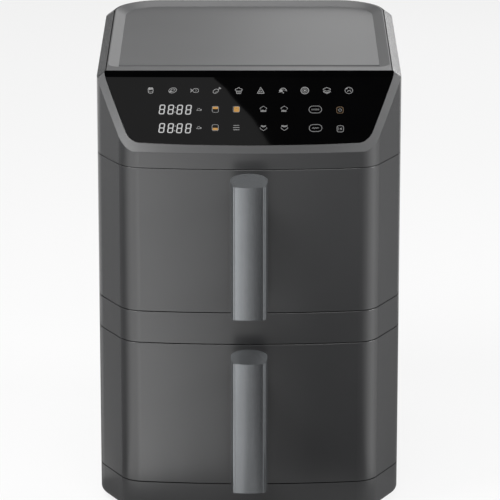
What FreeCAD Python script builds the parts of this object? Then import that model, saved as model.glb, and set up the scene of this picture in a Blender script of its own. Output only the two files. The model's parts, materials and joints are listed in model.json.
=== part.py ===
import FreeCAD, Part
import functools
import math
import os

from FreeCAD import Vector

# Driving sizes, in millimetres. Depths run back from the middle of the front face, and heights run
# up from the surface that the appliance stands on.

# Outer body
BODY_WIDTH = 280.0
BODY_DEPTH = 355.0
FOOT_HEIGHT = 4.0
BASE_BAND = 30.4
DRAWER_HEIGHT = 136.7
MID_BAND = 30.4
FASCIA_BAND = 15.0
SLOPE_LEDGE = 0.6
SLOPE_END = 62.0
SLOPE_RISE = 62.4
WALL = 3.0
SEAM = 0.7
FIT = 0.3

# Outline of the body seen from above
FRONT_RADIUS = 780.0
CORNER_RADIUS = 25.0
FLARE_ANGLE = 28.3
FLARE_END = 66.0
BLEND_RADIUS = 30.0
BACK_CORNER_RADIUS = 55.0
BACK_PANEL_RUN = 6.0
PANEL_SEAM = 0.4

# Outer edges
RIM_WIDTH = 8.0
RIM_DROP = 6.0
DOOR_EDGE_RADIUS = 0.5
BASE_EDGE_RADIUS = 7.0

# Top cover and the ledge that carries it
COVER_THICKNESS = 6.0
COVER_SEAM = 0.9
LEDGE_WIDTH = 6.0
LEDGE_THICKNESS = 3.0
TRAY_DEPTH = 4.0
TRAY_SLOPE = 9.3
TRAY_LIP = 1.0
TRAY_FRONT_LIP = 13.0
TRAY_FRONT_CORNER = 12.0
TRAY_BACK_CORNER = 46.0
TRAY_STEP = 0.9
TRAY_STEP_START = 36.3
TRAY_STEP_FOOT = 34.7

# Control panel
BEZEL = 6.5
GLASS_THICKNESS = 2.5
GLASS_FIT = 0.25
GLASS_SHELF = 5.0
PANEL_WALL = 5.0
WINDOW_TOP_MARGIN = 7.0
BOARD_THICKNESS = 1.6
BOARD_GAP = 9.0
BOARD_SIDE_GAP = 28.0
BOARD_START = 18.0
BOARD_TOP_GAP = 4.5
BOARD_POST_RADIUS = 2.5
BOARD_POST_INSET = 3.5
DISPLAY_WIDTH = 32.0
DISPLAY_HEIGHT = 12.0
DISPLAY_THICKNESS = 5.0
DISPLAY_X = -67.5
DISPLAY_LOW = 21.0
DISPLAY_PITCH = 19.6
LED_SIZE = 4.0
LED_THICKNESS = 2.0
LED_COUNT = 10
LED_PITCH = 20.2
LED_ROW = 65.0

# Drawer doors
DOOR_GAP = 0.6
LINER_THICKNESS = 2.5

# Handles
HANDLE_GAP = 22.0
HANDLE_DEPTH = 21.0
HANDLE_WIDTH = 33.7
HANDLE_BACK = 9.5
HANDLE_FACE = 25.6
HANDLE_FACE_CROWN = 1.2
HANDLE_SHOULDER_WIDTH = 29.6
HANDLE_SHOULDER = 3.4
HANDLE_SHOULDER_BULGE = 0.9
HANDLE_START = 6.7
HANDLE_TOP_GAP = 5.1
HANDLE_TOP_ANGLE = 20.0
HANDLE_CAP = 6.0
HANDLE_SHELL = 2.5
LEG_WIDTH = 20.0
LEG_HEIGHT = 16.0
LEG_MARGIN = 9.0
SCREW_RADIUS = 2.0
SCREW_HEAD_RADIUS = 4.0
SCREW_HEAD = 2.2
SCREW_FIT = 0.1
HANDLE_SCREW_BITE = 12.0

# Front frame, chambers and baskets
FRAME_THICKNESS = 3.0
FRAME_TOP = 8.0
SHEET = 0.8
CHAMBER_SIDE_GAP = 14.0
CHAMBER_MARGIN = 6.0
CHAMBER_CORNER = 8.0
GUARD_GAP = 5.3
GUARD_THICKNESS = 1.5
GUARD_HOLE_RADIUS = 5.0
GUARD_HOLE_PITCH = 15.0
GUARD_MARGIN = 12.0
RUNNER_HEIGHT = 4.0
RUNNER_WIDTH = 10.0
RUNNER_INSET = 24.0
RUNNER_MARGIN = 4.0
BASKET_WALL = 1.2
BASKET_SIDE_GAP = 4.0
BASKET_TOP_GAP = 9.0
BASKET_BACK_GAP = 4.0
BASKET_CORNER = 16.0
BASKET_RIM = 2.5
BASKET_VENT_WIDTH = 5.0
BASKET_VENT_HEIGHT = 36.0
BASKET_VENT_PITCH = 11.0
BASKET_VENT_COUNT = 15
BASKET_VENT_DROP = 12.0
RIVET_RADIUS = 2.0
RIVET_HEAD_RADIUS = 4.5
RIVET_HEAD = 1.2
RIVET_INSET = 44.0
RIVET_ROWS = 60.0
CRISPER_GAP = 2.5
CRISPER_THICKNESS = 1.5
CRISPER_LIFT = 17.0
CRISPER_LEG_RADIUS = 4.0
CRISPER_LEG_INSET = 24.0
CRISPER_SLOT_WIDTH = 5.0
CRISPER_SLOT_LENGTH = 32.0
CRISPER_SLOT_CORNER = 1.5
CRISPER_SLOT_PITCH = 14.0
CRISPER_SLOT_STEP = 42.0
CRISPER_SLOT_MARGIN = 16.0
CRISPER_FOOT_HEIGHT = 6.0
CRISPER_FOOT_WALL = 1.5
CRISPER_FOOT_FLOOR = 2.0

# Heaters, fans and motors
HEATER_TUBE = 3.2
HEATER_FAN_GAP = 4.8
HEATER_RING_GAP = 4.6
HEATER_GAP = 3.8
HEATER_BEND = 9.0
HEATER_OPEN_ANGLE = 34.0
HEATER_TAIL = 8.0
HEATER_HOLE_FIT = 0.3
FAN_RADIUS = 33.0
FAN_GAP = 7.0
FAN_WIDTH = 11.0
FAN_DISC = 1.2
FAN_BLADE = 1.4
FAN_BLADES = 10
HUB_RADIUS = 7.0
SHAFT_RADIUS = 3.0
SHAFT_FIT = 0.05
SHAFT_HOLE_RADIUS = 6.0
SHAFT_END = 2.0
COOLER_RADIUS = 30.0
COOLER_WIDTH = 8.0
COOLER_GAP = 3.5
COOLER_BLADES = 8
BRACKET_STANDOFF = 15.0
BRACKET_THICKNESS = 2.0
BRACKET_WIDTH = 92.0
BRACKET_HEIGHT = 84.0
BRACKET_CORNER = 7.0
BRACKET_POST_RADIUS = 4.0
MOTOR_RADIUS = 24.0
MOTOR_LENGTH = 20.0
MOTOR_BACK_GAP = 6.8
MOTOR_EAR_GAP = 2.0
MOTOR_EAR_RADIUS = 6.0
MOTOR_EAR_THICKNESS = 3.0
MOTOR_SCREW_BITE = 5.0
PROBE_RADIUS = 2.5
PROBE_LENGTH = 16.0
PROBE_INSET = 43.0
PROBE_DROP = 14.0
PROBE_FLANGE_RADIUS = 5.0
PROBE_FLANGE = 3.0
PROBE_FIT = 0.1

# Door switches
SWITCH_WIDTH = 9.0
SWITCH_DEPTH = 15.0
SWITCH_HEIGHT = 20.0
SWITCH_GAP = 1.3
SWITCH_LIFT = 90.0
PLUNGER_RADIUS = 2.0
PLUNGER_LENGTH = 10.0
PLUNGER_FIT = 0.08
PLUNGER_SHOW = 0.3

# Heat shields and the power board
SHIELD_GAP = 8.0
SHIELD_INSET = 14.0
POWER_BOARD_WIDTH = 150.0
POWER_BOARD_DEPTH = 90.0
POWER_BOARD_FRONT = 150.0
POWER_POST_HEIGHT = 9.0
POWER_POST_RADIUS = 4.0
POWER_POST_INSET = 8.0
RELAY_LENGTH = 28.0
RELAY_WIDTH = 12.0
RELAY_HEIGHT = 16.0
TRANSFORMER_SIZE = 30.0
TRANSFORMER_HEIGHT = 26.0
CAPACITOR_RADIUS = 7.0
CAPACITOR_HEIGHT = 22.0
PART_SPACING = 40.0

# Feet, gland and vents
FOOT_RADIUS = 10.0
FOOT_SIDE_INSET = 40.0
FOOT_END_INSET = 60.0
FOOT_SINK_RADIUS = 5.0
FOOT_SINK = 2.6
FOOT_SCREW_BITE = 8.0
FOOT_BOSS_RADIUS = 6.0
FOOT_BOSS_HEIGHT = 8.0
GLAND_SIDE_INSET = 80.0
GLAND_LIFT = 17.2
GLAND_RADIUS = 8.0
GLAND_BORE = 4.0
GLAND_FLANGE_RADIUS = 11.0
GLAND_FLANGE = 2.5
GLAND_LENGTH = 12.0
VENT_WIDTH = 44.0
VENT_SLOT = 3.0
VENT_PITCH = 6.5
VENT_ROWS = 9
VENT_BRIDGE = 6.0

# Places worked out from the sizes above
HALF_WIDTH = BODY_WIDTH / 2
LOWER_Z0 = FOOT_HEIGHT + BASE_BAND
LOWER_Z1 = LOWER_Z0 + DRAWER_HEIGHT
UPPER_Z0 = LOWER_Z1 + MID_BAND
UPPER_Z1 = UPPER_Z0 + DRAWER_HEIGHT
FASCIA_Z1 = UPPER_Z1 + FASCIA_BAND
TOP_Z = FASCIA_Z1 + SLOPE_RISE
SLOPE_ANGLE = math.degrees(math.atan2(SLOPE_RISE, SLOPE_END - SLOPE_LEDGE))
SLOPE_COS = math.cos(math.radians(SLOPE_ANGLE))
SLOPE_SIN = math.sin(math.radians(SLOPE_ANGLE))
SPLIT = SLOPE_END
BACK_PANEL_START = BODY_DEPTH - BACK_CORNER_RADIUS - BACK_PANEL_RUN
DOOR_BACK = SPLIT - DOOR_GAP
FRAME_BACK = SPLIT + FRAME_THICKNESS
HANDLE_REACH = HANDLE_GAP + HANDLE_DEPTH
GLAND_PROUD = GLAND_FLANGE
FRONT_Y = (HANDLE_REACH - BODY_DEPTH - GLAND_PROUD) / 2
COVER_Z = TOP_Z - COVER_THICKNESS
LEDGE_Z = COVER_Z - LEDGE_THICKNESS
BOARD_SINK = PANEL_WALL + BOARD_GAP
BOARD_HALF = HALF_WIDTH - BOARD_SIDE_GAP
BOARD_END = math.hypot(SLOPE_RISE, SLOPE_END - SLOPE_LEDGE) - BOARD_TOP_GAP
HANDLE_TOP = DRAWER_HEIGHT - HANDLE_TOP_GAP
MOTOR_DEPTH = BODY_DEPTH - WALL - MOTOR_BACK_GAP - SHAFT_END - MOTOR_LENGTH
BRACKET_DEPTH = MOTOR_DEPTH - BRACKET_THICKNESS
CHAMBER_BACK = BRACKET_DEPTH - BRACKET_STANDOFF - SHEET
FAN_DEPTH = CHAMBER_BACK - FAN_GAP - FAN_WIDTH
HEATER_DEPTH = FAN_DEPTH - SHAFT_END - HEATER_GAP - HEATER_TUBE
GUARD_DEPTH = HEATER_DEPTH - HEATER_TUBE - GUARD_GAP - GUARD_THICKNESS
CHAMBER_HALF = HALF_WIDTH - WALL - CHAMBER_SIDE_GAP
BASKET_HALF = CHAMBER_HALF - BASKET_SIDE_GAP
BASKET_BACK = GUARD_DEPTH - BASKET_BACK_GAP
HEATER_INNER = FAN_RADIUS + HEATER_FAN_GAP + HEATER_TUBE
HEATER_OUTER = HEATER_INNER + HEATER_RING_GAP + 2 * HEATER_TUBE
MOTOR_EAR_X = MOTOR_RADIUS + MOTOR_EAR_GAP + SCREW_HEAD_RADIUS
SWITCH_X = CHAMBER_HALF + SHEET + SWITCH_GAP + SWITCH_WIDTH / 2
PROBE_X = CHAMBER_HALF - PROBE_INSET
GLAND_X = HALF_WIDTH - GLAND_SIDE_INSET
GLAND_Z = LOWER_Z0 + GLAND_LIFT
BEYOND = 50.0
OVERCUT = 1.0
ZONES = {"upper": UPPER_Z0, "lower": LOWER_Z0}


# Basic shapes

def box(x0, x1, y0, y1, z0, z1):
    return Part.makeBox(x1 - x0, y1 - y0, z1 - z0, Vector(x0, y0, z0))


def rod(radius, y0, y1, x, z):
    """A round bar along the depth."""
    return Part.makeCylinder(radius, y1 - y0, Vector(x, y0, z), Vector(0, 1, 0))


def post(radius, z0, z1, x, y):
    """A round bar that stands upright."""
    return Part.makeCylinder(radius, z1 - z0, Vector(x, y, z0))


def join(shapes):
    return shapes[0].multiFuse(shapes[1:]).removeSplitter()


def group(shapes):
    return Part.makeCompound(shapes)


def both_sides(x):
    return (-x, x)


def on_arc(centre, radius, angle, z):
    """The point of a circle whose outward direction is turned by that angle from straight ahead."""
    turn = math.radians(angle)
    return Vector(centre[0] + radius * math.sin(turn), centre[1] - radius * math.cos(turn), z)


def loop_at(items, z):
    """A closed outline of arcs (centre, radius, first angle, last angle) and points, joined by lines."""
    pieces = []
    for item in items:
        if len(item) == 2:
            point = Vector(item[0], item[1], z)
            pieces.append((point, None, point))
            continue
        centre, radius, first, last = item
        start, middle, stop = [on_arc(centre, radius, a, z) for a in (first, (first + last) / 2, last)]
        pieces.append((start, Part.Arc(start, middle, stop).toShape(), stop))
    edges = []
    for here, following in zip(pieces, pieces[1:] + pieces[:1]):
        if here[1]:
            edges.append(here[1])
        if here[2].distanceToPoint(following[0]) > 1e-6:
            edges.append(Part.LineSegment(here[2], following[0]).toShape())
    return Part.Wire(edges)


def prism(items, z0, z1):
    return Part.Face(loop_at(items, z0)).extrude(Vector(0, 0, z1 - z0))


def mirrored(items):
    """The same arcs and points on the left, in the order that closes the outline."""
    left = []
    for item in reversed(items):
        if len(item) == 2:
            left.append((-item[0], item[1]))
        else:
            (x, y), radius, first, last = item
            left.append(((-x, y), radius, 360 - last, 360 - first))
    return left


def rounded_items(half, y0, y1, front_radius, back_radius, inset):
    """A rounded rectangle about the middle, with one radius in front and one behind."""
    front, back = front_radius, back_radius
    right = [((half - front, y0 + front), front - inset, 0, 90)]
    right.append(((half - back, y1 - back), back - inset, 90, 180))
    return right + mirrored(right)


def rounded_block(half, y0, y1, radius, z0, z1):
    return prism(rounded_items(half, y0, y1, radius, radius, 0), z0, z1)


def tunnel(half, z0, z1, radius, y0, y1):
    """A block with rounded corners that runs along the depth."""
    block = rounded_block(half, z0, z1, radius, -y1, -y0)
    block.rotate(Vector(0, 0, 0), Vector(1, 0, 0), 90)
    return block


def side_prism(points, half):
    """A block with that outline (depth, height), seen from the side, and twice half as wide."""
    loop = Part.makePolygon([Vector(-half, y, z) for y, z in points + points[:1]])
    return Part.Face(loop).extrude(Vector(2 * half, 0, 0))


def soften(shape, radius, heights):
    """Rounds the edges that lie flat at one of those heights."""
    def wanted(edge):
        b = edge.BoundBox
        return any(abs(b.ZMin - z) < 1e-4 and abs(b.ZMax - z) < 1e-4 for z in heights)
    return shape.makeFillet(radius, [e for e in shape.Edges if wanted(e)])


def between(y0, y1):
    """All the space between two depths."""
    far = HALF_WIDTH + BEYOND
    return box(-far, far, y0, y1, -BEYOND, TOP_Z + BEYOND)


# The body's outline and its sloping control panel

def body_items(inset):
    """The body's outline from above, drawn in by that inset.

    Each corner arc touches the bowed front and the flare. The flare runs on into the straight side.
    """
    flare = math.radians(FLARE_ANGLE)
    line = (HALF_WIDTH - BLEND_RADIUS) * math.cos(flare) - FLARE_END * math.sin(flare) + BLEND_RADIUS
    reach = FRONT_RADIUS - CORNER_RADIUS
    turn = math.asin((line - CORNER_RADIUS + FRONT_RADIUS * math.sin(flare)) / reach) - flare
    corner = (reach * math.sin(turn), FRONT_RADIUS - reach * math.cos(turn))
    first, last, back = math.degrees(turn), 90 - FLARE_ANGLE, BACK_CORNER_RADIUS
    right = [
        (corner, CORNER_RADIUS - inset, first, last),
        ((HALF_WIDTH - BLEND_RADIUS, FLARE_END), BLEND_RADIUS - inset, last, 90),
        ((HALF_WIDTH - back, BODY_DEPTH - back), back - inset, 90, 180),
    ]
    front = [((0, FRONT_RADIUS), FRONT_RADIUS - inset, -first, first)]
    return front + right + mirrored(right)


def under_slope(sink):
    """All the space under the control panel, sunk by that much.

    The panel runs straight up from the bowed upper edge of the fascia to the straight front edge of
    the top cover.
    """
    wide, far = HALF_WIDTH + OVERCUT, BODY_DEPTH + OVERCUT
    turn = math.degrees(math.asin(wide / (FRONT_RADIUS - SLOPE_LEDGE)))
    bowed = [((0, FRONT_RADIUS), FRONT_RADIUS - SLOPE_LEDGE, -turn, turn), (wide, far), (-wide, far)]
    low = loop_at(bowed, FASCIA_Z1)
    high = loop_at([(-wide, SLOPE_END), (wide, SLOPE_END), (wide, far), (-wide, far)], TOP_Z)
    below = box(-wide, wide, -BEYOND, far, -BEYOND, FASCIA_Z1)
    space = Part.makeLoft([low, high], True, True).fuse(below)
    space.translate(Vector(0, sink * SLOPE_SIN, -sink * SLOPE_COS))
    return space


def panel_column(inset):
    """The space over and under the control panel, with the body's outline drawn in by that inset."""
    return prism(body_items(inset), UPPER_Z1, TOP_Z + BEYOND).common(between(-BEYOND, SPLIT))


def on_slope(shape, x, along, sink):
    """Lays a shape made flat at the origin on the control panel: along runs up the slope."""
    shape.rotate(Vector(0, 0, 0), Vector(1, 0, 0), SLOPE_ANGLE)
    y = SLOPE_LEDGE + along * SLOPE_COS + sink * SLOPE_SIN
    z = FASCIA_Z1 + along * SLOPE_SIN - sink * SLOPE_COS
    shape.translate(Vector(x, y, z))
    return shape


def body_block(z0):
    """The whole outside of the body above that height, with its bevelled rim and control panel."""
    rim_z = TOP_Z - RIM_DROP
    bevel = [loop_at(body_items(0), rim_z), loop_at(body_items(RIM_WIDTH), TOP_Z)]
    return prism(body_items(0), z0, rim_z).fuse(Part.makeLoft(bevel, True, True)).common(under_slope(0))


# Housing

def vent_slots():
    """The slots through the back, in two columns behind each motor."""
    slots = []
    for z0 in ZONES.values():
        middle = z0 + DRAWER_HEIGHT / 2
        for row in range(VENT_ROWS):
            z = middle + (row - (VENT_ROWS - 1) / 2) * VENT_PITCH
            for x in both_sides((VENT_WIDTH + VENT_BRIDGE) / 2):
                low, high = BODY_DEPTH - 2 * WALL, BODY_DEPTH + WALL
                slots.append(box(x - VENT_WIDTH / 2, x + VENT_WIDTH / 2, low, high,
                                 z - VENT_SLOT / 2, z + VENT_SLOT / 2))
    return slots


@functools.lru_cache
def outer_wrap():
    """The wall round the sides and the back, with the rim and ledge for the top cover."""
    shell = body_block(LOWER_Z0).common(between(SPLIT, BODY_DEPTH + BEYOND))
    hollow = prism(body_items(WALL), LOWER_Z0, LEDGE_Z)
    opening = prism(body_items(RIM_WIDTH), COVER_Z, TOP_Z + BEYOND)
    drop = prism(body_items(RIM_WIDTH + LEDGE_WIDTH), LEDGE_Z, COVER_Z)
    shell = shell.cut([hollow, opening, drop])
    gland_hole = rod(GLAND_RADIUS + FIT, BODY_DEPTH - 2 * WALL, BODY_DEPTH + WALL, GLAND_X, GLAND_Z)
    return shell.cut(vent_slots() + [gland_hole])


def side_panel(side):
    """The flat part of the wall on one side: side is -1 on the left and 1 on the right."""
    reach = sorted((0, side * (HALF_WIDTH + BEYOND)))
    half = box(*reach, SPLIT, BACK_PANEL_START - PANEL_SEAM, -BEYOND, TOP_Z + BEYOND)
    return outer_wrap().common(half)


def left_side_panel():
    return side_panel(-1)


def right_side_panel():
    return side_panel(1)


def back_panel():
    """The back with its two rounded corners, the vents and the hole for the gland."""
    return outer_wrap().common(between(BACK_PANEL_START, BODY_DEPTH + BEYOND))


def tray_items(inset):
    """The tray's outline at its upper edge, or further in."""
    half = HALF_WIDTH - RIM_WIDTH - COVER_SEAM - TRAY_LIP
    back = BODY_DEPTH - RIM_WIDTH - COVER_SEAM - TRAY_LIP
    return rounded_items(half, SPLIT + TRAY_FRONT_LIP, back, TRAY_FRONT_CORNER, TRAY_BACK_CORNER, inset)


def tray_step():
    """What the tray's floor loses where it steps down a little towards its front edge."""
    floor = TOP_Z - TRAY_DEPTH
    low = floor - TRAY_STEP
    outline = [(SPLIT + TRAY_STEP_START, floor), (SPLIT, floor), (SPLIT, low), (SPLIT + TRAY_STEP_FOOT, low)]
    return side_prism(outline, HALF_WIDTH).common(prism(tray_items(TRAY_SLOPE), COVER_Z, TOP_Z))


def top_cover():
    """The cover let into the rim, hollowed to a shallow tray."""
    plate = prism(body_items(RIM_WIDTH + COVER_SEAM), COVER_Z, TOP_Z)
    plate = plate.common(between(SPLIT, BODY_DEPTH))
    loops = [loop_at(tray_items(TRAY_SLOPE), TOP_Z - TRAY_DEPTH), loop_at(tray_items(0), TOP_Z)]
    return plate.cut(Part.makeLoft(loops, True, True)).cut(tray_step())


def board_posts():
    """The stubs behind the panel that carry the control board."""
    x = BOARD_HALF - BOARD_POST_INSET
    within = under_slope((PANEL_WALL + GLASS_THICKNESS) / 2)
    posts = []
    for side in both_sides(x):
        for along in (BOARD_START + BOARD_POST_INSET, BOARD_END - BOARD_POST_INSET):
            stub = Part.makeCylinder(BOARD_POST_RADIUS, BOARD_SINK)
            posts.append(on_slope(stub, side, along, BOARD_SINK).common(within))
    return posts


def control_housing():
    """The upper front moulding: fascia, bezel round the glass, and the shelf under the glass."""
    z0 = UPPER_Z1 + SEAM / 2
    outer = body_block(z0).common(between(-BEYOND, SPLIT))
    hollow = prism(body_items(WALL), z0 + WALL, TOP_Z + BEYOND).common(under_slope(PANEL_WALL))
    pocket = panel_column(BEZEL).cut(under_slope(GLASS_THICKNESS))
    window = panel_column(BEZEL + GLASS_SHELF).cut(under_slope(PANEL_WALL + OVERCUT))
    window = window.common(between(-BEYOND, SPLIT - WINDOW_TOP_MARGIN))
    return join([outer.cut([hollow, pocket, window])] + board_posts())


def control_glass():
    sheet = panel_column(BEZEL + GLASS_FIT).common(under_slope(0)).cut(under_slope(GLASS_THICKNESS))
    return sheet.common(between(0, SPLIT - GLASS_FIT))


def control_board():
    depth = BOARD_END - BOARD_START
    plate = Part.makeBox(2 * BOARD_HALF, depth, BOARD_THICKNESS, Vector(-BOARD_HALF, 0, -BOARD_THICKNESS))
    return on_slope(plate, 0, BOARD_START, BOARD_SINK)


def digit_displays():
    """One four-digit module for each zone, on the board."""
    modules = []
    for row in range(2):
        corner = Vector(-DISPLAY_WIDTH / 2, 0, 0)
        module = Part.makeBox(DISPLAY_WIDTH, DISPLAY_HEIGHT, DISPLAY_THICKNESS, corner)
        modules.append(on_slope(module, DISPLAY_X, DISPLAY_LOW + row * DISPLAY_PITCH, BOARD_SINK))
    return group(modules)


def indicator_leds():
    """The row of lamps behind the programme symbols, on the board."""
    lamps = []
    for i in range(LED_COUNT):
        x = (i - (LED_COUNT - 1) / 2) * LED_PITCH
        lamp = Part.makeBox(LED_SIZE, LED_SIZE, LED_THICKNESS, Vector(-LED_SIZE / 2, 0, 0))
        lamps.append(on_slope(lamp, x, LED_ROW, BOARD_SINK))
    return group(lamps)


def front_frame():
    """The bulkhead that carries the chambers and closes the housing behind the doors."""
    top = UPPER_Z1 + FRAME_TOP
    plate = prism(body_items(WALL + FIT), LOWER_Z0, top).common(between(SPLIT, FRAME_BACK))
    back = FRAME_BACK + OVERCUT
    cuts = []
    for z0 in ZONES.values():
        cuts.append(tunnel(CHAMBER_HALF, chamber_floor(z0), chamber_top(z0), CHAMBER_CORNER, 0, back))
        cuts.append(rod(PLUNGER_RADIUS + PLUNGER_FIT, 0, back, SWITCH_X, z0 + SWITCH_LIFT))
    return plate.cut(cuts)


def mid_band():
    """The fixed strip between the two drawers, open towards the frame."""
    z0, z1 = LOWER_Z1 + SEAM / 2, UPPER_Z0 - SEAM / 2
    strip = soften(prism(body_items(0), z0, z1), DOOR_EDGE_RADIUS, (z0, z1)).common(between(-BEYOND, SPLIT))
    return strip.cut(prism(body_items(WALL), z0 + WALL, z1 - WALL))


def foot_places():
    rows = (FOOT_END_INSET, BODY_DEPTH - FOOT_END_INSET)
    return [(x, y) for y in rows for x in both_sides(HALF_WIDTH - FOOT_SIDE_INSET)]


def base_pan():
    """The bottom tray, closed on top in front, where it shows as a band under the lower drawer."""
    z0, z1 = FOOT_HEIGHT, LOWER_Z0
    pan = soften(prism(body_items(0), z0, z1), BASE_EDGE_RADIUS, (z0,))
    rear = prism(body_items(WALL), z0 + WALL, z1 + OVERCUT).common(between(FRAME_BACK, BODY_DEPTH))
    front = prism(body_items(WALL), z0 + WALL, z1 - SEAM / 2 - WALL).common(between(0, FRAME_BACK))
    lowered = box(-HALF_WIDTH, HALF_WIDTH, -BEYOND, SPLIT, z1 - SEAM / 2, z1 + OVERCUT)
    bosses = [post(FOOT_BOSS_RADIUS, z0 + WALL / 2, z0 + FOOT_BOSS_HEIGHT, x, y) for x, y in foot_places()]
    pan = join([pan.cut([rear, front, lowered])] + bosses)
    low, high = z0 - OVERCUT, z0 + FOOT_BOSS_HEIGHT + OVERCUT
    holes = [post(SCREW_RADIUS + SCREW_FIT, low, high, x, y) for x, y in foot_places()]
    return pan.cut(holes)


def feet():
    """Four rubber feet, each with a sunk hole for its screw."""
    pads = []
    for x, y in foot_places():
        pad = post(FOOT_RADIUS, 0, FOOT_HEIGHT, x, y)
        hole = post(SCREW_RADIUS + SCREW_FIT, -OVERCUT, FOOT_HEIGHT + OVERCUT, x, y)
        pads.append(pad.cut([hole, post(FOOT_SINK_RADIUS, -OVERCUT, FOOT_SINK, x, y)]))
    return group(pads)


def foot_screws():
    screws = []
    low, high = FOOT_SINK - SCREW_HEAD, FOOT_SINK + FOOT_SCREW_BITE
    for x, y in foot_places():
        head = post(SCREW_HEAD_RADIUS, low, FOOT_SINK, x, y)
        screws.append(join([head, post(SCREW_RADIUS, low, high, x, y)]))
    return group(screws)


def cord_gland():
    """The flanged bush in the back that a mains lead comes in through."""
    body = rod(GLAND_RADIUS, BODY_DEPTH - GLAND_LENGTH, BODY_DEPTH, GLAND_X, GLAND_Z)
    flange = rod(GLAND_FLANGE_RADIUS, BODY_DEPTH, BODY_DEPTH + GLAND_FLANGE, GLAND_X, GLAND_Z)
    bore = rod(GLAND_BORE, BODY_DEPTH - 2 * GLAND_LENGTH, BODY_DEPTH + GLAND_LENGTH, GLAND_X, GLAND_Z)
    return join([body, flange]).cut(bore)


# Chambers

def chamber_floor(z0):
    return z0 + CHAMBER_MARGIN


def chamber_top(z0):
    return z0 + DRAWER_HEIGHT - CHAMBER_MARGIN


def fan_height(z0):
    return z0 + DRAWER_HEIGHT / 2


def heater_ends(z0):
    """Where the two ends of the heater tube pass through the back of the chamber."""
    turn = math.radians(HEATER_OPEN_ANGLE / 2)
    places = []
    for radius in (HEATER_OUTER, HEATER_INNER):
        x = radius * math.sin(turn) - HEATER_BEND * math.cos(turn)
        z = -radius * math.cos(turn) - HEATER_BEND * math.sin(turn)
        places.append((x, fan_height(z0) + z))
    return places


def chamber(z0):
    """A sheet box, open in front, with holes behind for the shaft, the heater's ends and the probe."""
    low, high = chamber_floor(z0), chamber_top(z0)
    outer = tunnel(CHAMBER_HALF + SHEET, low - SHEET, high + SHEET, CHAMBER_CORNER + SHEET, FRAME_BACK,
                   CHAMBER_BACK + SHEET)
    inner = tunnel(CHAMBER_HALF, low, high, CHAMBER_CORNER, 0, CHAMBER_BACK)
    wall = (CHAMBER_BACK - OVERCUT, CHAMBER_BACK + SHEET + OVERCUT)
    cuts = [inner, rod(SHAFT_HOLE_RADIUS, *wall, 0, fan_height(z0))]
    cuts += [rod(HEATER_TUBE + HEATER_HOLE_FIT, *wall, x, z) for x, z in heater_ends(z0)]
    cuts.append(rod(PROBE_RADIUS + PROBE_FIT, *wall, PROBE_X, high - PROBE_DROP))
    return outer.cut(cuts)


def heater_guard(z0):
    """The perforated plate between the basket and the heater."""
    low, high = chamber_floor(z0) + FIT, chamber_top(z0) - FIT
    half = CHAMBER_HALF - FIT
    plate = tunnel(half, low, high, CHAMBER_CORNER - FIT, GUARD_DEPTH, GUARD_DEPTH + GUARD_THICKNESS)
    columns = int((half - GUARD_MARGIN) / GUARD_HOLE_PITCH)
    rows = int(((high - low) / 2 - GUARD_MARGIN) / GUARD_HOLE_PITCH)
    front, back = GUARD_DEPTH - OVERCUT, GUARD_DEPTH + GUARD_THICKNESS + OVERCUT
    holes = []
    for i in range(-columns, columns + 1):
        for k in range(-rows, rows + 1):
            x, z = i * GUARD_HOLE_PITCH, fan_height(z0) + k * GUARD_HOLE_PITCH
            holes.append(rod(GUARD_HOLE_RADIUS, front, back, x, z))
    return plate.cut(holes)


def heater(z0):
    """One tube bent to a double ring: round the outside, a tight turn, and back inside it."""
    centre = Vector(0, HEATER_DEPTH, fan_height(z0))
    half_open = HEATER_OPEN_ANGLE / 2

    def at(radius, angle):
        turn = math.radians(angle)
        return centre + Vector(radius * math.sin(turn), 0, -radius * math.cos(turn))

    def ring(radius, first, last):
        return Part.Arc(at(radius, first), at(radius, (first + last) / 2), at(radius, last)).toShape()

    def tail(radius, angle):
        """A quarter bend from the ring to straight back, and the straight end."""
        turn = math.radians(angle)
        along = Vector(-math.cos(turn), 0, -math.sin(turn))
        start = at(radius, angle)
        back = Vector(0, HEATER_BEND, 0)
        corner = start + along * HEATER_BEND
        middle = start + along * (HEATER_BEND * math.sin(math.pi / 4))
        middle = middle + back * (1 - math.cos(math.pi / 4))
        bend = Part.Arc(start, middle, corner + back).toShape()
        end = Vector(corner.x, CHAMBER_BACK + SHEET + HEATER_TAIL, corner.z)
        return bend, Part.LineSegment(corner + back, end).toShape()

    last = 360 - half_open
    turn_radius = (HEATER_OUTER - HEATER_INNER) / 2
    mean = (HEATER_OUTER + HEATER_INNER) / 2
    turn_at = math.radians(last)
    tip = at(mean, last) + Vector(math.cos(turn_at), 0, math.sin(turn_at)) * turn_radius
    outer_bend, outer_end = tail(HEATER_OUTER, half_open)
    inner_bend, inner_end = tail(HEATER_INNER, half_open)
    uturn = Part.Arc(at(HEATER_OUTER, last), tip, at(HEATER_INNER, last)).toShape()
    path = [outer_end, outer_bend, ring(HEATER_OUTER, half_open, last), uturn]
    path += [ring(HEATER_INNER, last, half_open), inner_bend, inner_end]
    wire = Part.Wire(Part.__sortEdges__(path))
    start = wire.OrderedVertexes[0].Point
    section = Part.Wire(Part.makeCircle(HEATER_TUBE, start, Vector(0, 1, 0)))
    return wire.makePipeShell([section], True, False)


def basket_runners():
    """Two rails on the floor of each chamber."""
    rails = []
    for z0 in ZONES.values():
        floor = chamber_floor(z0)
        for x in both_sides(BASKET_HALF - RUNNER_INSET):
            rails.append(box(x - RUNNER_WIDTH / 2, x + RUNNER_WIDTH / 2, FRAME_BACK + RUNNER_MARGIN,
                             GUARD_DEPTH - RUNNER_MARGIN, floor, floor + RUNNER_HEIGHT))
    return group(rails)


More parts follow.
